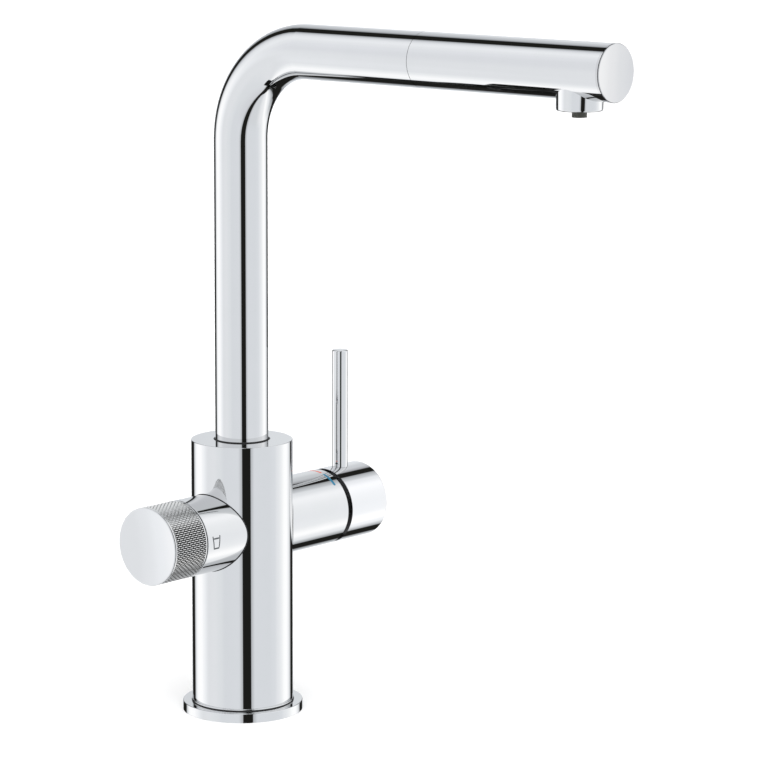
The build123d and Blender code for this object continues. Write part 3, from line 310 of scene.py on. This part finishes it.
# Materials. Sizes of patterns are in mm; "deep" is how far the surface waves, also in mm.
# Chrome plate on buffed brass is a mirror, its haze patchy where the buffing wheel lingered.
plate = {"metallic": 1.0, "roughness": (0.012, 0.028), "patch": 9.0, "grain": 1.2, "deep": 0.00004}
enamel = {"metallic": 0.0, "roughness": (0.16, 0.26), "patch": 1.5, "grain": 0.3, "deep": 0.0006}
looks = {
    "chromePlate": {**plate, "colour": "#dcdcdd", "other": "#d9dada"},
    # on the pressed end cap of the spout, a little hollow, so that it shades from edge to edge; its
    # colour a darker copy of the plate, painted shade
    "chromeOnDishedCap": {
        **plate, "colour": "#d1d1d2", "other": "#cfcfd0", "dish": 0.1, "dishRadius": 14.1,
    },
    # on the lever's cap: a lighter copy of the plate, painted light
    "chromeOnCapPaintedLight": {**plate, "colour": "#e6e6e7", "other": "#e4e4e5"},
    # over cut knurling: bright on the pads, painted shade dark in the grooves, its edges dulled
    "chromeOnKnurl": {
        "colour": "#e2e2e1", "other": "#d2d2d1", "metallic": 1.0, "roughness": (0.1, 0.2),
        "patch": 3.0, "grain": 0.6, "deep": 0.0004,
        "lean": (0.2, 1.0, 1.0),  # share of the facets' lean left on each axis
        # painted shade: the groove colour darkens the knurl from its root up towards the pads' tops
        "groove": "#1c1b1a", "grooveShadeSpan": (20.2, 20.44),  # the radii that it goes from and to
        "skyLit": (0.48, 0.7, 0.86),  # rises between which the sky fills the grooves, and how far
        "floorLit": (-0.9, 0.0, 0.55),  # rises between which all dims downwards, and how far
    },
    # CW617N brass as it leaves the lathe: tool marks 0.1 mm apart, drawn at 0.3 so that they show
    "turnedBrass": {
        "colour": "#d8b872", "other": "#c9a45c", "metallic": 1.0, "roughness": (0.22, 0.36),
        "patch": 6.0, "lathe": 0.3, "deep": 0.004,
    },
    # stainless steel wire and sheet, tumbled: soft grey with fine drawing lines
    "tumbledStainless": {
        "colour": "#c4c4c2", "other": "#b2b2af", "metallic": 1.0, "roughness": (0.24, 0.38),
        "patch": 4.0, "lathe": 0.25, "deep": 0.002,
    },
    # moulded NBR rubber: nearly black, dull, with a bloom of talc
    "mouldedRubber": {
        "colour": "#1d1d1e", "other": "#2b2b2c", "metallic": 0.0, "roughness": (0.55, 0.75),
        "patch": 3.0, "grain": 0.25, "deep": 0.006,
    },
    # lapped alumina: cream white, almost a mirror where it seals
    "lappedAlumina": {
        "colour": "#d6d3ca", "other": "#ccc8be", "metallic": 0.0, "roughness": (0.12, 0.2),
        "patch": 2.0, "grain": 0.3, "deep": 0.0005,
    },
    # natural acetal, injection moulded: milky white with flow marks
    "mouldedAcetal": {
        "colour": "#cfcfc9", "other": "#c5c5be", "metallic": 0.0, "roughness": (0.34, 0.46),
        "patch": 5.0, "grain": 0.35, "deep": 0.003,
    },
    # black ABS off a polished mould: piano black with a faint ripple
    "polishedBlackAbs": {
        "colour": "#101010", "other": "#161615", "metallic": 0.0, "roughness": (0.1, 0.18),
        "patch": 4.0, "grain": 0.5, "deep": 0.0006,
    },
    # dark grey acetal with spark-eroded texture
    "texturedGreyAcetal": {
        "colour": "#47473f", "other": "#3d3d37", "metallic": 0.0, "roughness": (0.42, 0.58),
        "patch": 2.0, "grain": 0.3, "deep": 0.008,
    },
    # polyethylene tube, extruded: cloudy white with lengthwise die lines
    "extrudedPolyethylene": {
        "colour": "#c9cdce", "other": "#bec3c4", "metallic": 0.0, "roughness": (0.3, 0.42),
        "patch": 6.0, "grain": 0.4, "deep": 0.002,
    },
    # stoving enamel filled into shallow inlays
    "redEnamel": {**enamel, "colour": "#e2705a", "other": "#d8634e"},
    "blueEnamel": {**enamel, "colour": "#2b7c9c", "other": "#247091"},
    "greyEnamel": {**enamel, "colour": "#45494c", "other": "#3d4144", "roughness": (0.2, 0.3)},
    # polyester yarn braided over the hose: satin grey, with painted shade where the yarns dive
    "braidedPolyester": {
        "colour": "#b9bcbe", "other": "#9fa3a6", "metallic": 0.0, "roughness": (0.42, 0.6),
        "patch": 4.0, "grain": 0.2, "deep": 0.01, "tuck": "#55585a",
    },
}


# how far a point is along one of the tap's three axes, how far out from it, and in which direction
def alongAndOut(tree, axis):
    spot = addNode(tree, "TexCoord").outputs["Object"]
    height = {"X": sideAxisHeight, "Y": spoutAxisHeight, "Z": 0}[axis]
    moved = addNode(tree, "VectorMath", {0: spot, 1: (0, 0, height * mm)},
                    operation="SUBTRACT").outputs[0]
    across = tuple(0.0 if a == axis else 1.0 for a in "XYZ")
    flat = addNode(tree, "VectorMath", {0: moved, 1: across}, operation="MULTIPLY").outputs[0]
    outwards = addNode(tree, "VectorMath", {0: flat}, operation="LENGTH").outputs["Value"]
    return addNode(tree, "SeparateXYZ", {0: moved}).outputs[axis], outwards, flat


def awayFromAxis(tree, flat):
    away = addNode(tree, "VectorTransform", {0: flat}, vector_type="NORMAL", convert_from="OBJECT",
                   convert_to="WORLD").outputs[0]
    away = addNode(tree, "VectorMath", {0: away}, operation="NORMALIZE").outputs[0]
    meshNormal = addNode(tree, "NewGeometry").outputs["Normal"]
    agree = addNode(tree, "VectorMath", {0: away, 1: meshNormal},
                    operation="DOT_PRODUCT").outputs["Value"]
    return away, meshNormal, agree


# light on the knurl by how high it lies on the knob: the grooves fill from above, all dims below
def grooveLight(tree, shine, skyLit, floorLit):
    away = awayFromAxis(tree, alongAndOut(tree, "X")[2])[0]
    rise = addNode(tree, "SeparateXYZ", {0: away}).outputs["Z"]
    begin, end, most = skyLit
    filled = addNode(tree, "MapRange", {0: rise, 1: begin, 2: end, 3: 0.0, 4: most},
                     interpolation_type="SMOOTHSTEP").outputs[0]
    shine = addNode(tree, "Math", {0: shine, 1: filled}, operation="MAXIMUM").outputs[0]
    begin, end, least = floorLit
    dimmed = addNode(tree, "MapRange", {0: rise, 1: begin, 2: end, 3: least, 4: 1.0}).outputs[0]
    return addNode(tree, "Math", {0: shine, 1: dimmed}, operation="MULTIPLY").outputs[0]


# how near a point lies to the turned radius, in mm, and how well a facet's normal has to agree
roundFit = {"near": 0.12, "agree": (0.97, 0.99)}


# a turned surface's true normal, for light to run evenly over the long facets of the CAD's mesh
def turnedNormal(tree, axis, radius):
    _, outwards, flat = alongAndOut(tree, axis)
    away, meshNormal, agree = awayFromAxis(tree, flat)
    least, enough = roundFit["agree"]
    agree = addNode(tree, "MapRange", {0: agree, 1: least, 2: enough}).outputs[0]
    onRound = addNode(tree, "Math", {0: outwards, 1: radius * mm, 2: roundFit["near"] * mm},
                      operation="COMPARE").outputs[0]
    share = addNode(tree, "Math", {0: agree, 1: onRound}, operation="MULTIPLY").outputs[0]
    return addNode(tree, "Mix", {0: share, 4: meshNormal, 5: away}, data_type="VECTOR").outputs[1]


# Pieces mirrored in the chrome from further off than this, in mm, are painted dark: a painted
# shade, as though they stood in the tap's own shade
farShade = {"near": 100.0, "far": 125.0, "colour": "#1c1c1a"}


def darkenFarOff(tree, colour):
    path = addNode(tree, "LightPath").outputs
    far = addNode(tree, "MapRange", {0: path["Ray Length"], 1: farShade["near"] * mm,
                                     2: farShade["far"] * mm}).outputs[0]
    seen = addNode(tree, "Math", {0: path["Is Glossy Ray"], 1: far},
                   operation="MULTIPLY").outputs[0]
    return addNode(tree, "Mix", {0: seen, 6: colour, 7: linearColour(farShade["colour"])},
                   data_type="RGBA").outputs[2]


def surfaceColour(tree, look, patches):
    colour = addNode(tree, "Mix", {0: patches, 6: linearColour(look["colour"]),
                                   7: linearColour(look["other"])}, data_type="RGBA").outputs[2]
    # painted shade where the braid's yarns dive under each other
    if "tuck" in look:
        dive = addNode(tree, "Attribute", attribute_name="dive").outputs["Fac"]
        colour = addNode(tree, "Mix", {0: dive, 6: colour, 7: linearColour(look["tuck"])},
                         data_type="RGBA").outputs[2]
    # painted shade in the knurl's grooves, with painted light from above and painted shade below
    if "groove" in look:
        root, tip = (r * mm for r in look["grooveShadeSpan"])
        shine = addNode(tree, "MapRange", {0: alongAndOut(tree, "X")[1], 1: root, 2: tip},
                        interpolation_type="SMOOTHSTEP").outputs[0]
        shine = grooveLight(tree, shine, look["skyLit"], look["floorLit"])
        colour = addNode(tree, "Mix", {0: shine, 6: linearColour(look["groove"]), 7: colour},
                         data_type="RGBA").outputs[2]
    return darkenFarOff(tree, colour)


def surfaceNormal(tree, look, fine, turned):
    bump = addNode(tree, "Bump", {"Height": fine, "Distance": look["deep"] * mm, "Strength": 1.0})
    if turned:
        tree.links.new(turnedNormal(tree, *turned), bump.inputs["Normal"])
    if "lean" in look:
        meshNormal = addNode(tree, "NewGeometry").outputs["Normal"]
        dulled = addNode(tree, "VectorMath", {0: meshNormal, 1: look["lean"]},
                         operation="MULTIPLY").outputs[0]
        dulled = addNode(tree, "VectorMath", {0: dulled}, operation="NORMALIZE").outputs[0]
        tree.links.new(dulled, bump.inputs["Normal"])
    if "dish" in look:  # the slope at the rim is the share "dish"
        outwards = alongAndOut(tree, "Y")[1]
        bowl = addNode(tree, "Math", {0: outwards, 1: 2}, operation="POWER").outputs[0]
        bowl = addNode(tree, "Math", {0: bowl, 1: look["dish"] / (2 * look["dishRadius"] * mm)},
                       operation="MULTIPLY").outputs[0]
        bowl = addNode(tree, "Bump", {"Height": bowl, "Distance": 1.0, "Strength": 1.0})
        tree.links.new(bowl.outputs[0], bump.inputs["Normal"])
    return bump.outputs[0]


# detail and roughness of the two noises, and the values that they mostly keep between
noise = {"patch": (3, 0.6), "fine": (2, 0.5), "spread": (0.3, 0.7)}


def noiseAt(tree, spot, size, kind):
    detail, rough = noise[kind]
    return addNode(tree, "TexNoise", {"Vector": spot, "Scale": 1 / (size * mm), "Detail": detail,
                                      "Roughness": rough}).outputs[0]


def buildMaterial(name, axis=None, turned=None):
    look = looks[name]
    turnedName = "{}{:g}".format(*turned) if turned else ""
    material = bpy.data.materials.new(name + (axis or "") + turnedName)
    tree = emptyTree(material)
    spot = addNode(tree, "TexCoord").outputs["Object"]
    patches = noiseAt(tree, spot, look["patch"], "patch")
    if axis:  # lathe lines change along the axis and outwards, never round it
        along, outwards, _ = alongAndOut(tree, axis)
        spot = addNode(tree, "CombineXYZ", {0: along, 1: outwards}).outputs[0]
    fine = noiseAt(tree, spot, look["lathe"] if axis else look["grain"], "fine")
    # half the roughness goes by the patches and half by the fine pattern
    mixed = addNode(tree, "Mix", {0: 0.5, 2: patches, 3: fine}).outputs[0]
    (least, most), (smooth, dull) = noise["spread"], look["roughness"]
    roughness = addNode(tree, "MapRange", {0: mixed, 1: least, 2: most, 3: smooth,
                                           4: dull}).outputs[0]
    shader = addNode(tree, "BsdfPrincipled", {
        "Base Color": surfaceColour(tree, look, patches), "Metallic": look["metallic"],
        "Roughness": roughness, "Normal": surfaceNormal(tree, look, fine, turned),
    })
    addNode(tree, "OutputMaterial", {"Surface": shader.outputs[0]})
    return material


# the CAD's slots and the material each takes
slotLooks = {
    "chrome": "chromePlate", "brass": "turnedBrass", "stainless_steel": "tumbledStainless",
    "black_rubber": "mouldedRubber", "ceramic": "lappedAlumina", "white_plastic": "mouldedAcetal",
    "black_plastic": "polishedBlackAbs", "grey_plastic": "texturedGreyAcetal",
    "hose_sheath": "braidedPolyester", "line_plastic": "extrudedPolyethylene",
    "red_enamel": "redEnamel", "blue_enamel": "blueEnamel", "grey_enamel": "greyEnamel",
}
ownLooks = {"head_end_cap": "chromeOnDishedCap", "mixer_cap": "chromeOnCapPaintedLight"}
sidewaysBodies = ("filter_valve", "mixer_carrier", "flow_slider", "mixer_handle")
sidewaysParts = ("filter_housing", "headpart_body", "mixer_housing", "cartridge_nut")
# chromed nodes with one turned outside: its axis and radius in mm
turnedNodes = {
    "body_shell": ("Z", 27.0), "head_shell": ("Y", 14.1), "filter_collar": ("X", 20.5),
    "mixer_sleeve": ("X", 20.5), "mixer_cap": ("X", 20.5), "base_flange": ("Z", 32.15),
}
materials = {}


def materialFor(name, axis=None, turned=None):
    key = (name, axis if "lathe" in looks[name] else None, turned)
    if key not in materials:
        materials[key] = buildMaterial(*key)
    return materials[key]


def dressNodes():
    for name, node in frame["nodes"].items():
        slotName = node.data.materials[0].name.split(".")[0]
        body = node["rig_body"]
        sideways = body in sidewaysBodies or name in sidewaysParts
        axis = "X" if sideways else "Y" if body == "head" else "Z"
        look = ownLooks.get(name, slotLooks[slotName])
        for slot in node.material_slots:
            slot.material = materialFor(look, axis, turnedNodes.get(name))


dressNodes()
print("CAD nodes dressed,", len(materials), "materials")

# Filter knob: plain rims with a knurl of small staggered pads between them
knob = {
    "start": 47.9, "length": 23.8, "radius": 20.5,  # mm, the start is from the tap's axis
    "around": 120,  # points round each ring
    "rim": 0.9, "frontRim": 1.55, "edgeRound": 0.25,
    "knurlTop": 20.46, "knurlRoot": 20.0, "step": 0.08,  # how far a rim's slope to the root runs
    "rows": 120, "pads": 8,  # rows round the knob, pads along it
    "padTop": (0.92, 0.2), "padFoot": (1.24, 0.46),  # half lengths, half widths
    "padSunk": 0.05, "padClear": 0.02,  # into the root, from the rims
    "groove": (0.9, 0.3, 0.48), "grooveFlank": 0.05,  # starts and ends before the face, depth
    "cavityRings": (4, 12, 16.2), "cavityDepth": 16.1, "backLip": 0.3,
    "roundSteps": 4, "faceRings": (19.6, 18, 15, 12, 9, 6, 3), "dish": 1.05,
    "cutFrom": 17.2, "cutTo": 20.47,  # radii that the knurl's finish keeps between
}


def buildKnob():
    steps = knob["around"]
    verts, faces = [], []

    def lay(along, radius, turn):
        verts.append((-(knob["start"] + along) * mm, radius * math.cos(turn) * mm,
                      (sideAxisHeight + radius * math.sin(turn)) * mm))

    def ringOf(along, radius):
        first = len(verts)
        for i in range(steps):
            lay(along, radius, 2 * math.pi * i / steps)
        return [first + i for i in range(steps)]

    def join(a, b):
        for i in range(steps):
            faces.append((a[i], b[i], b[(i + 1) % steps], a[(i + 1) % steps]))

    def closeWith(ring, along, flip):
        centre = len(verts)
        lay(along, 0, 0)
        for i in range(steps):
            pair = (ring[i], ring[(i + 1) % steps])
            faces.append((centre, *(reversed(pair) if flip else pair)))

    edge, radius, length = knob["edgeRound"], knob["radius"], knob["length"]
    step, lip, cavity = knob["step"], knob["backLip"], knob["cavityRings"][-1]
    arc = [math.pi / 2 * i / knob["roundSteps"] for i in range(knob["roundSteps"] + 1)]
    # cavity, back face and back rim
    rings = [ringOf(knob["cavityDepth"], r) for r in knob["cavityRings"]]
    closeWith(rings[0], knob["cavityDepth"], True)
    rings += [ringOf(lip, cavity), ringOf(0, cavity + lip)]
    for a in arc:
        rings.append(ringOf(edge * (1 - math.cos(a)), radius - edge * (1 - math.sin(a))))
    rings += [ringOf(knob["rim"] - step, radius), ringOf(knob["rim"], knob["knurlRoot"])]
    for a, b in zip(rings, rings[1:]):
        join(a, b)
    # knurl: rows of small pads along the knob, each row half a pad on from the one before it
    start, end = knob["rim"], length - knob["frontRim"]
    rings.append(ringOf(end, knob["knurlRoot"]))
    join(*rings[-2:])
    pitch = (end - start) / knob["pads"]
    least, most = start + knob["padClear"], end - knob["padClear"]
    levels = (
        (knob["padFoot"], knob["knurlRoot"] - knob["padSunk"]), (knob["padTop"], knob["knurlTop"]),
    )
    for row in range(knob["rows"]):
        middleTurn = 2 * math.pi * (row + 0.5) / knob["rows"]
        for pad in range(knob["pads"] + row % 2):
            middle = start + pitch * (pad + (0 if row % 2 else 0.5))
            first = len(verts)
            for (halfLength, halfWidth), level in levels:
                for i, j in ((-1, -1), (1, -1), (1, 1), (-1, 1)):
                    along = min(max(middle + i * halfLength, least), most)
                    lay(along, level, middleTurn + j * halfWidth / level)
            faces.append(tuple(first + k for k in (3, 2, 1, 0)))
            faces.append(tuple(first + k for k in (4, 5, 6, 7)))
            for k in range(4):
                m = (k + 1) % 4
                faces.append((first + k, first + m, first + 4 + m, first + 4 + k))
    # front rim, groove, rounded edge and the slightly dished face
    back, front, depth = knob["groove"]
    flank = knob["grooveFlank"]
    rings = [rings[-1], ringOf(end + step, radius), ringOf(length - back, radius)]
    rings.append(ringOf(length - back + flank, radius - depth))
    rings.append(ringOf(length - front - flank, radius - depth))
    rings.append(ringOf(length - front, radius))
    for a in arc:
        rings.append(ringOf(length - edge * (1 - math.sin(a)), radius - edge * (1 - math.cos(a))))
    for r in knob["faceRings"]:
        rings.append(ringOf(length - knob["dish"] * (1 - (r / (radius - edge)) ** 2), r))
    for a, b in zip(rings, rings[1:]):
        join(a, b)
    closeWith(rings[-1], length - knob["dish"], False)

    mesh = bpy.data.meshes.new("knurledKnob")
    mesh.from_pydata(verts, [], faces)
    mesh.validate()
    return mesh


# a piece of the mesh: no loose points, faces outwards, edges sharp where they turn by the angle
def finishMesh(name, mesh, angle=30):
    work = bmesh.new()
    work.from_mesh(mesh)
    loose = [v for v in work.verts if not v.link_faces]
    bmesh.ops.delete(work, geom=loose, context="VERTS")
    bmesh.ops.recalc_face_normals(work, faces=work.faces)
    work.to_mesh(mesh)
    work.free()
    for face in mesh.polygons:
        face.use_smooth = True
    mesh.set_sharp_from_angle(angle=math.radians(angle))
    piece = bpy.data.objects.new(name, mesh)
    bpy.context.scene.collection.objects.link(piece)
    return piece


# everything cut below the rims takes the knurl's material, with its painted groove shade
def dressKnob(piece):
    for name in ("chromePlate", "chromeOnKnurl"):
        piece.data.materials.append(materialFor(name))
    for face in piece.data.polygons:
        along = -face.center.x / mm - knob["start"]
        outwards = math.hypot(face.center.y, face.center.z - sideAxisHeight * mm) / mm
        betweenRims = knob["rim"] < along < knob["length"] - knob["edgeRound"]
        if betweenRims and knob["cutFrom"] < outwards < knob["cutTo"]:
            face.material_index = 1


knobPiece = finishMesh("knurledKnob", buildKnob())
dressKnob(knobPiece)
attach(knobPiece, "filter_valve")
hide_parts("filter_knob")
print("knob knurled,", len(knobPiece.data.polygons), "faces")

# Joint lines: fine dark beads where one chromed part ends against another, the joints real and
# their darkness a painted shade in the gap, and the bright rolled foot of the body
joints = {
    "around": 120, "detail": 3,  # points round each loop, steps of a bead's roundness
    "bodyRadius": 27.0, "branch": 20.62,  # mm, as all below
    "collarJoint": {"thickness": 0.24},
    "sleeveJoint": {"thickness": 0.24},
    "flangeJoint": {"thickness": 0.19, "radius": 27.35, "height": 5.05},
    "swivelJoint": {"thickness": 0.34, "radius": 14.12, "height": 147.6},
    "bodyFoot": {"thickness": 0.45, "radius": 27.0, "height": 5.75},
    "endCapJoint": {"thickness": 0.26, "radius": 13.98, "reach": 243.98, "top": 13.82},
    "knobJoint": {"thickness": 0.3, "radius": 20.1, "reach": 47.55},
}


def buildBead(name, body, thickness, finish, points, closed=True):
    curve = bpy.data.curves.new(name, "CURVE")
    curve.dimensions = "3D"
    curve.bevel_depth = thickness * mm
    curve.bevel_resolution = joints["detail"]
    curve.use_fill_caps = True
    for run in [points] if closed else points:
        spline = curve.splines.new("POLY")
        spline.use_cyclic_u = closed
        spline.points.add(len(run) - 1)
        for point, place in zip(spline.points, run):
            point.co = (*(Vector(place) * mm), 1)
    holder = bpy.data.objects.new(name + "Path", curve)
    mesh = bpy.data.meshes.new_from_object(holder)
    bpy.data.objects.remove(holder)
    mesh.name = name
    bead = finishMesh(name, mesh, 60 if closed else 30)
    bead.data.materials.append(materialFor(slotLooks[finish]))
    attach(bead, body)
    return bead


def loopPoints(place):
    turns = [2 * math.pi * i / joints["around"] for i in range(joints["around"])]
    return [place(math.cos(turn), math.sin(turn)) for turn in turns]


def levelLoop(place):
    return loopPoints(lambda c, s: (place["radius"] * c, place["radius"] * s, place["height"]))


# where a branch round the side axis meets the body's cylinder, side -1 or 1
def saddleLoop(side):
    def place(c, s):
        across = joints["branch"] * c
        reach = side * math.sqrt(joints["bodyRadius"] ** 2 - across ** 2)
        return reach, across, sideAxisHeight + joints["branch"] * s
    return loopPoints(place)


# round the spout's end; its top lies a little flat, to stay under the tube's
def endCapLoop(place):
    radius, top = place["radius"], place["top"]
    return loopPoints(
        lambda c, s: (radius * c, -place["reach"], spoutAxisHeight + min(radius * s, top)))


def knobLoop(place):
    radius = place["radius"]
    return loopPoints(lambda c, s: (-place["reach"], radius * c, sideAxisHeight + radius * s))


def bodyOf(node):
    return frame["nodes"][node]["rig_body"]


# each bead's name, the node whose body it rides on, its finish and its points
for beadName, nodeName, finish, points in (
    # the dark beads take the rubber's finish as painted shade in the joints' gaps
    ("collarJoint", "filter_collar", "black_rubber", saddleLoop(-1)),
    ("sleeveJoint", "mixer_sleeve", "black_rubber", saddleLoop(1)),
    ("flangeJoint", "base_flange", "black_rubber", levelLoop(joints["flangeJoint"])),
    ("swivelJoint", "spout_seal_ring", "black_rubber", levelLoop(joints["swivelJoint"])),
    ("bodyFoot", "body_shell", "chrome", levelLoop(joints["bodyFoot"])),
    ("endCapJoint", "head_end_cap", "black_rubber", endCapLoop(joints["endCapJoint"])),
    ("knobJoint", "knob_slide_ring", "black_rubber", knobLoop(joints["knobJoint"])),
):
    buildBead(beadName, bodyOf(nodeName), joints[beadName]["thickness"], finish, points)
print("joint lines laid")

# Hot and cold marks: enamel arcs on the sleeve, a little broader than their inlays
marks = {
    "radius": 20.53, "depth": 0.06, "start": 57.15, "end": 59.05,  # mm
    "hot_mark": (68.0, 103.0), "cold_mark": (107.0, 135.0),  # degrees round the sleeve
    "steps": 24, "pinch": 0.35, "bevel": 0.12,  # ends drawn in and edges rounded off, mm
}


def buildMark(name, node, finish):
    low, high = marks[node]
    steps, bevel, depth = marks["steps"], marks["bevel"], marks["depth"]
    verts, faces = [], []
    for i in range(steps + 1):
        turn = math.radians(low + (high - low) * i / steps)
        nearEnd = min(i, steps - i) / 2
        pinch = marks["pinch"] * (1 - min(1, nearEnd)) ** 2
        start, end = marks["start"] + pinch, marks["end"] - pinch
        for x, sunk in ((start, depth), (start + bevel, 0), (end - bevel, 0), (end, depth)):
            reach = marks["radius"] - sunk
            height = sideAxisHeight + reach * math.sin(turn)
            verts.append((x * mm, reach * math.cos(turn) * mm, height * mm))
    for i in range(steps):
        for j in range(4):
            k = (j + 1) % 4
            faces.append((4 * i + j, 4 * i + k, 4 * i + 4 + k, 4 * i + 4 + j))
    faces += [(0, 1, 2, 3), tuple(4 * steps + j for j in (3, 2, 1, 0))]
    mesh = bpy.data.meshes.new(name)
    mesh.from_pydata(verts, [], faces)
    mark = finishMesh(name, mesh)
    mark.data.materials.append(materialFor(slotLooks[finish]))
    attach(mark, bodyOf(node))
    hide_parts(node)


buildMark("hotArc", "hot_mark", "red_enamel")
buildMark("coldArc", "cold_mark", "blue_enamel")

# Drinking glass on the collar: lines of enamel that stand a hair proud, over the CAD's finer inlay
glass = {
    "middle": (-40.9, 0.4), "radius": 20.18,  # mm: along and above the side axis, out from it
    "top": 2.6, "bottom": 1.8, "half": 3.3,  # half widths at the rim and the foot, half the height
    "water": (1.75, 2.0), "line": 0.5,  # half the water's width and its height, half a line's width
    "steps": 8,  # along each straight of a line
}


def buildGlass():
    half, top, bottom = glass["half"], glass["top"], glass["bottom"]
    across, rise = glass["water"]
    middle, lift = glass["middle"]
    strokes = [
        [(-top, half), (-bottom, -half), (bottom, -half), (top, half)],
        [(-across, rise), (across, rise)],
    ]
    runs = []
    for stroke in strokes:
        run = []
        for a, b in zip(stroke, stroke[1:]):
            for i in range(glass["steps"] + 1):
                x, z = (a[j] + (b[j] - a[j]) * i / glass["steps"] for j in range(2))
                front = -math.sqrt(glass["radius"] ** 2 - (lift + z) ** 2)
                run.append((middle + x, front, sideAxisHeight + lift + z))
        runs.append(run)
    body = bodyOf("filter_symbol")
    symbol = buildBead("glassSymbol", body, glass["line"], "grey_enamel", runs, False)
    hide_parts("filter_symbol")


buildGlass()
print("marks laid")

# Pull-out hose and the filtered-water line in it. Their rings are spaced for the pulled head and
# lie close together while it is docked.
hose = {
    "bottom": 24.0, "end": 123.9, "bend": 47.5, "radius": 5.8, "bore": 3.9,  # mm
    "stretchFrom": 47.5, "stretchTo": 123.0, "travel": 200.0,
    "strands": 12, "strandPitch": 9.0, "sink": 0.35,  # strands each way, mm, how deep they dive
    "crown": 0.6,  # how round a strand's back is: 1 is a sine, less is flatter
    "around": 72, "ringStep": 0.5, "uprightStep": 20, "bendSteps": 16,
}
line = {"bottom": 2.0, "end": 155.0, "radius": 2.6, "bore": 1.6, "around": 24, "ringStep": 4.0}


# distance that a point at a share of the stretch has from its start, with the head pulled
def pulledDistance(share):
    docked = (hose["stretchTo"] - hose["stretchFrom"]) * share
    return docked + hose["travel"] * share ** 2 * (3 - 2 * share)


def stretchShares(step):
    count = round(pulledDistance(1) / step)
    shares = []
    for i in range(count + 1):
        wanted = pulledDistance(1) * i / count
        low, high = 0.0, 1.0
        for _ in range(40):  # halved until exact
            middle = (low + high) / 2
            low, high = (middle, high) if pulledDistance(middle) < wanted else (low, middle)
        shares.append((low + high) / 2)
    return shares


# centres and directions along the run, with how far each is along the pulled hose
def runStations(settings):
    stations = []
    bend, bendSteps = hose["bend"], hose["bendSteps"]
    rise = spoutAxisHeight - bend
    ahead = Vector((0, -1, 0))
    upright = max(2, round((rise - settings["bottom"]) / hose["uprightStep"]))
    for i in range(upright):
        height = settings["bottom"] + (rise - settings["bottom"]) * i / upright
        stations.append((Vector((0, 0, height)), Vector((0, 0, 1)), 0))
    for i in range(bendSteps + 1):
        turn = math.pi / 2 * i / bendSteps
        spot = Vector((0, -bend * (1 - math.cos(turn)), rise + bend * math.sin(turn)))
        stations.append((spot, Vector((0, -math.sin(turn), math.cos(turn))), 0))
    for share in stretchShares(settings["ringStep"])[1:]:
        reach = hose["stretchFrom"] + (hose["stretchTo"] - hose["stretchFrom"]) * share
        stations.append((Vector((0, -reach, spoutAxisHeight)), ahead, pulledDistance(share)))
    stations.append((Vector((0, -settings["end"], spoutAxisHeight)), ahead,
                     pulledDistance(1) + settings["end"] - hose["stretchTo"]))
    return stations


# how deep the braid's surface lies at a place: two sets of strands pass over and under each other
def braidDive(turn, along):
    offset = 0.5 / hose["around"]  # strands meet between the mesh's points
    lay = along / (hose["strandPitch"] * 4)
    a, b = (hose["strands"] * (turn / (2 * math.pi) + side * lay + offset) for side in (1, -1))
    over = 0.5 + 0.5 * math.sin(math.pi * (math.floor(a) + math.floor(b) + 0.5))
    crownA, crownB = (math.sin(math.pi * (c % 1)) ** hose["crown"] for c in (a, b))
    return 1 - (crownA * over + crownB * (1 - over))


def buildTube(name, settings, braided):
    verts, faces, dives = [], [], []
    around = settings["around"]
    for radius, inner in ((settings["radius"], False), (settings["bore"], True)):
        first = len(verts)
        stations = runStations(settings)
        for centre, ahead, along in stations:
            side = Vector((1, 0, 0))
            other = ahead.cross(side)
            for i in range(around):
                turn = 2 * math.pi * i / around
                dive = braidDive(turn, along) if braided and not inner and along > 0 else 0.0
                reach = radius - hose["sink"] * dive if braided else radius
                spot = centre + (side * math.cos(turn) + other * math.sin(turn)) * reach
                verts.append(tuple(spot * mm))
                dives.append(dive)
        for j in range(len(stations) - 1):
            for i in range(around):
                k = (i + 1) % around
                quad = (first + j * around + i, first + j * around + k,
                        first + (j + 1) * around + k, first + (j + 1) * around + i)
                faces.append(quad[::-1] if inner else quad)
    half = len(verts) // 2
    outerEnd, innerEnd = half - around, len(verts) - around
    for i in range(around):
        k = (i + 1) % around
        faces.append((i, half + i, half + k, k))
        faces.append((outerEnd + i, outerEnd + k, innerEnd + k, innerEnd + i))
    mesh = bpy.data.meshes.new(name)
    mesh.from_pydata(verts, [], faces)
    if braided:
        mesh.attributes.new("dive", "FLOAT", "POINT").data.foreach_set("value", dives)
    return finishMesh(name, mesh, 60)


for pieceName, settings, nodeName, slotName, braided in (
    ("braidedHose", hose, "pull_out_hose", "hose_sheath", True),
    ("filteredLine", line, "filtered_line", "line_plastic", False),
):
    tube = buildTube(pieceName, settings, braided)
    tube.data.materials.append(materialFor(slotLooks[slotName]))
    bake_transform(tube)
    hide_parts(nodeName)
print("hose and line built")
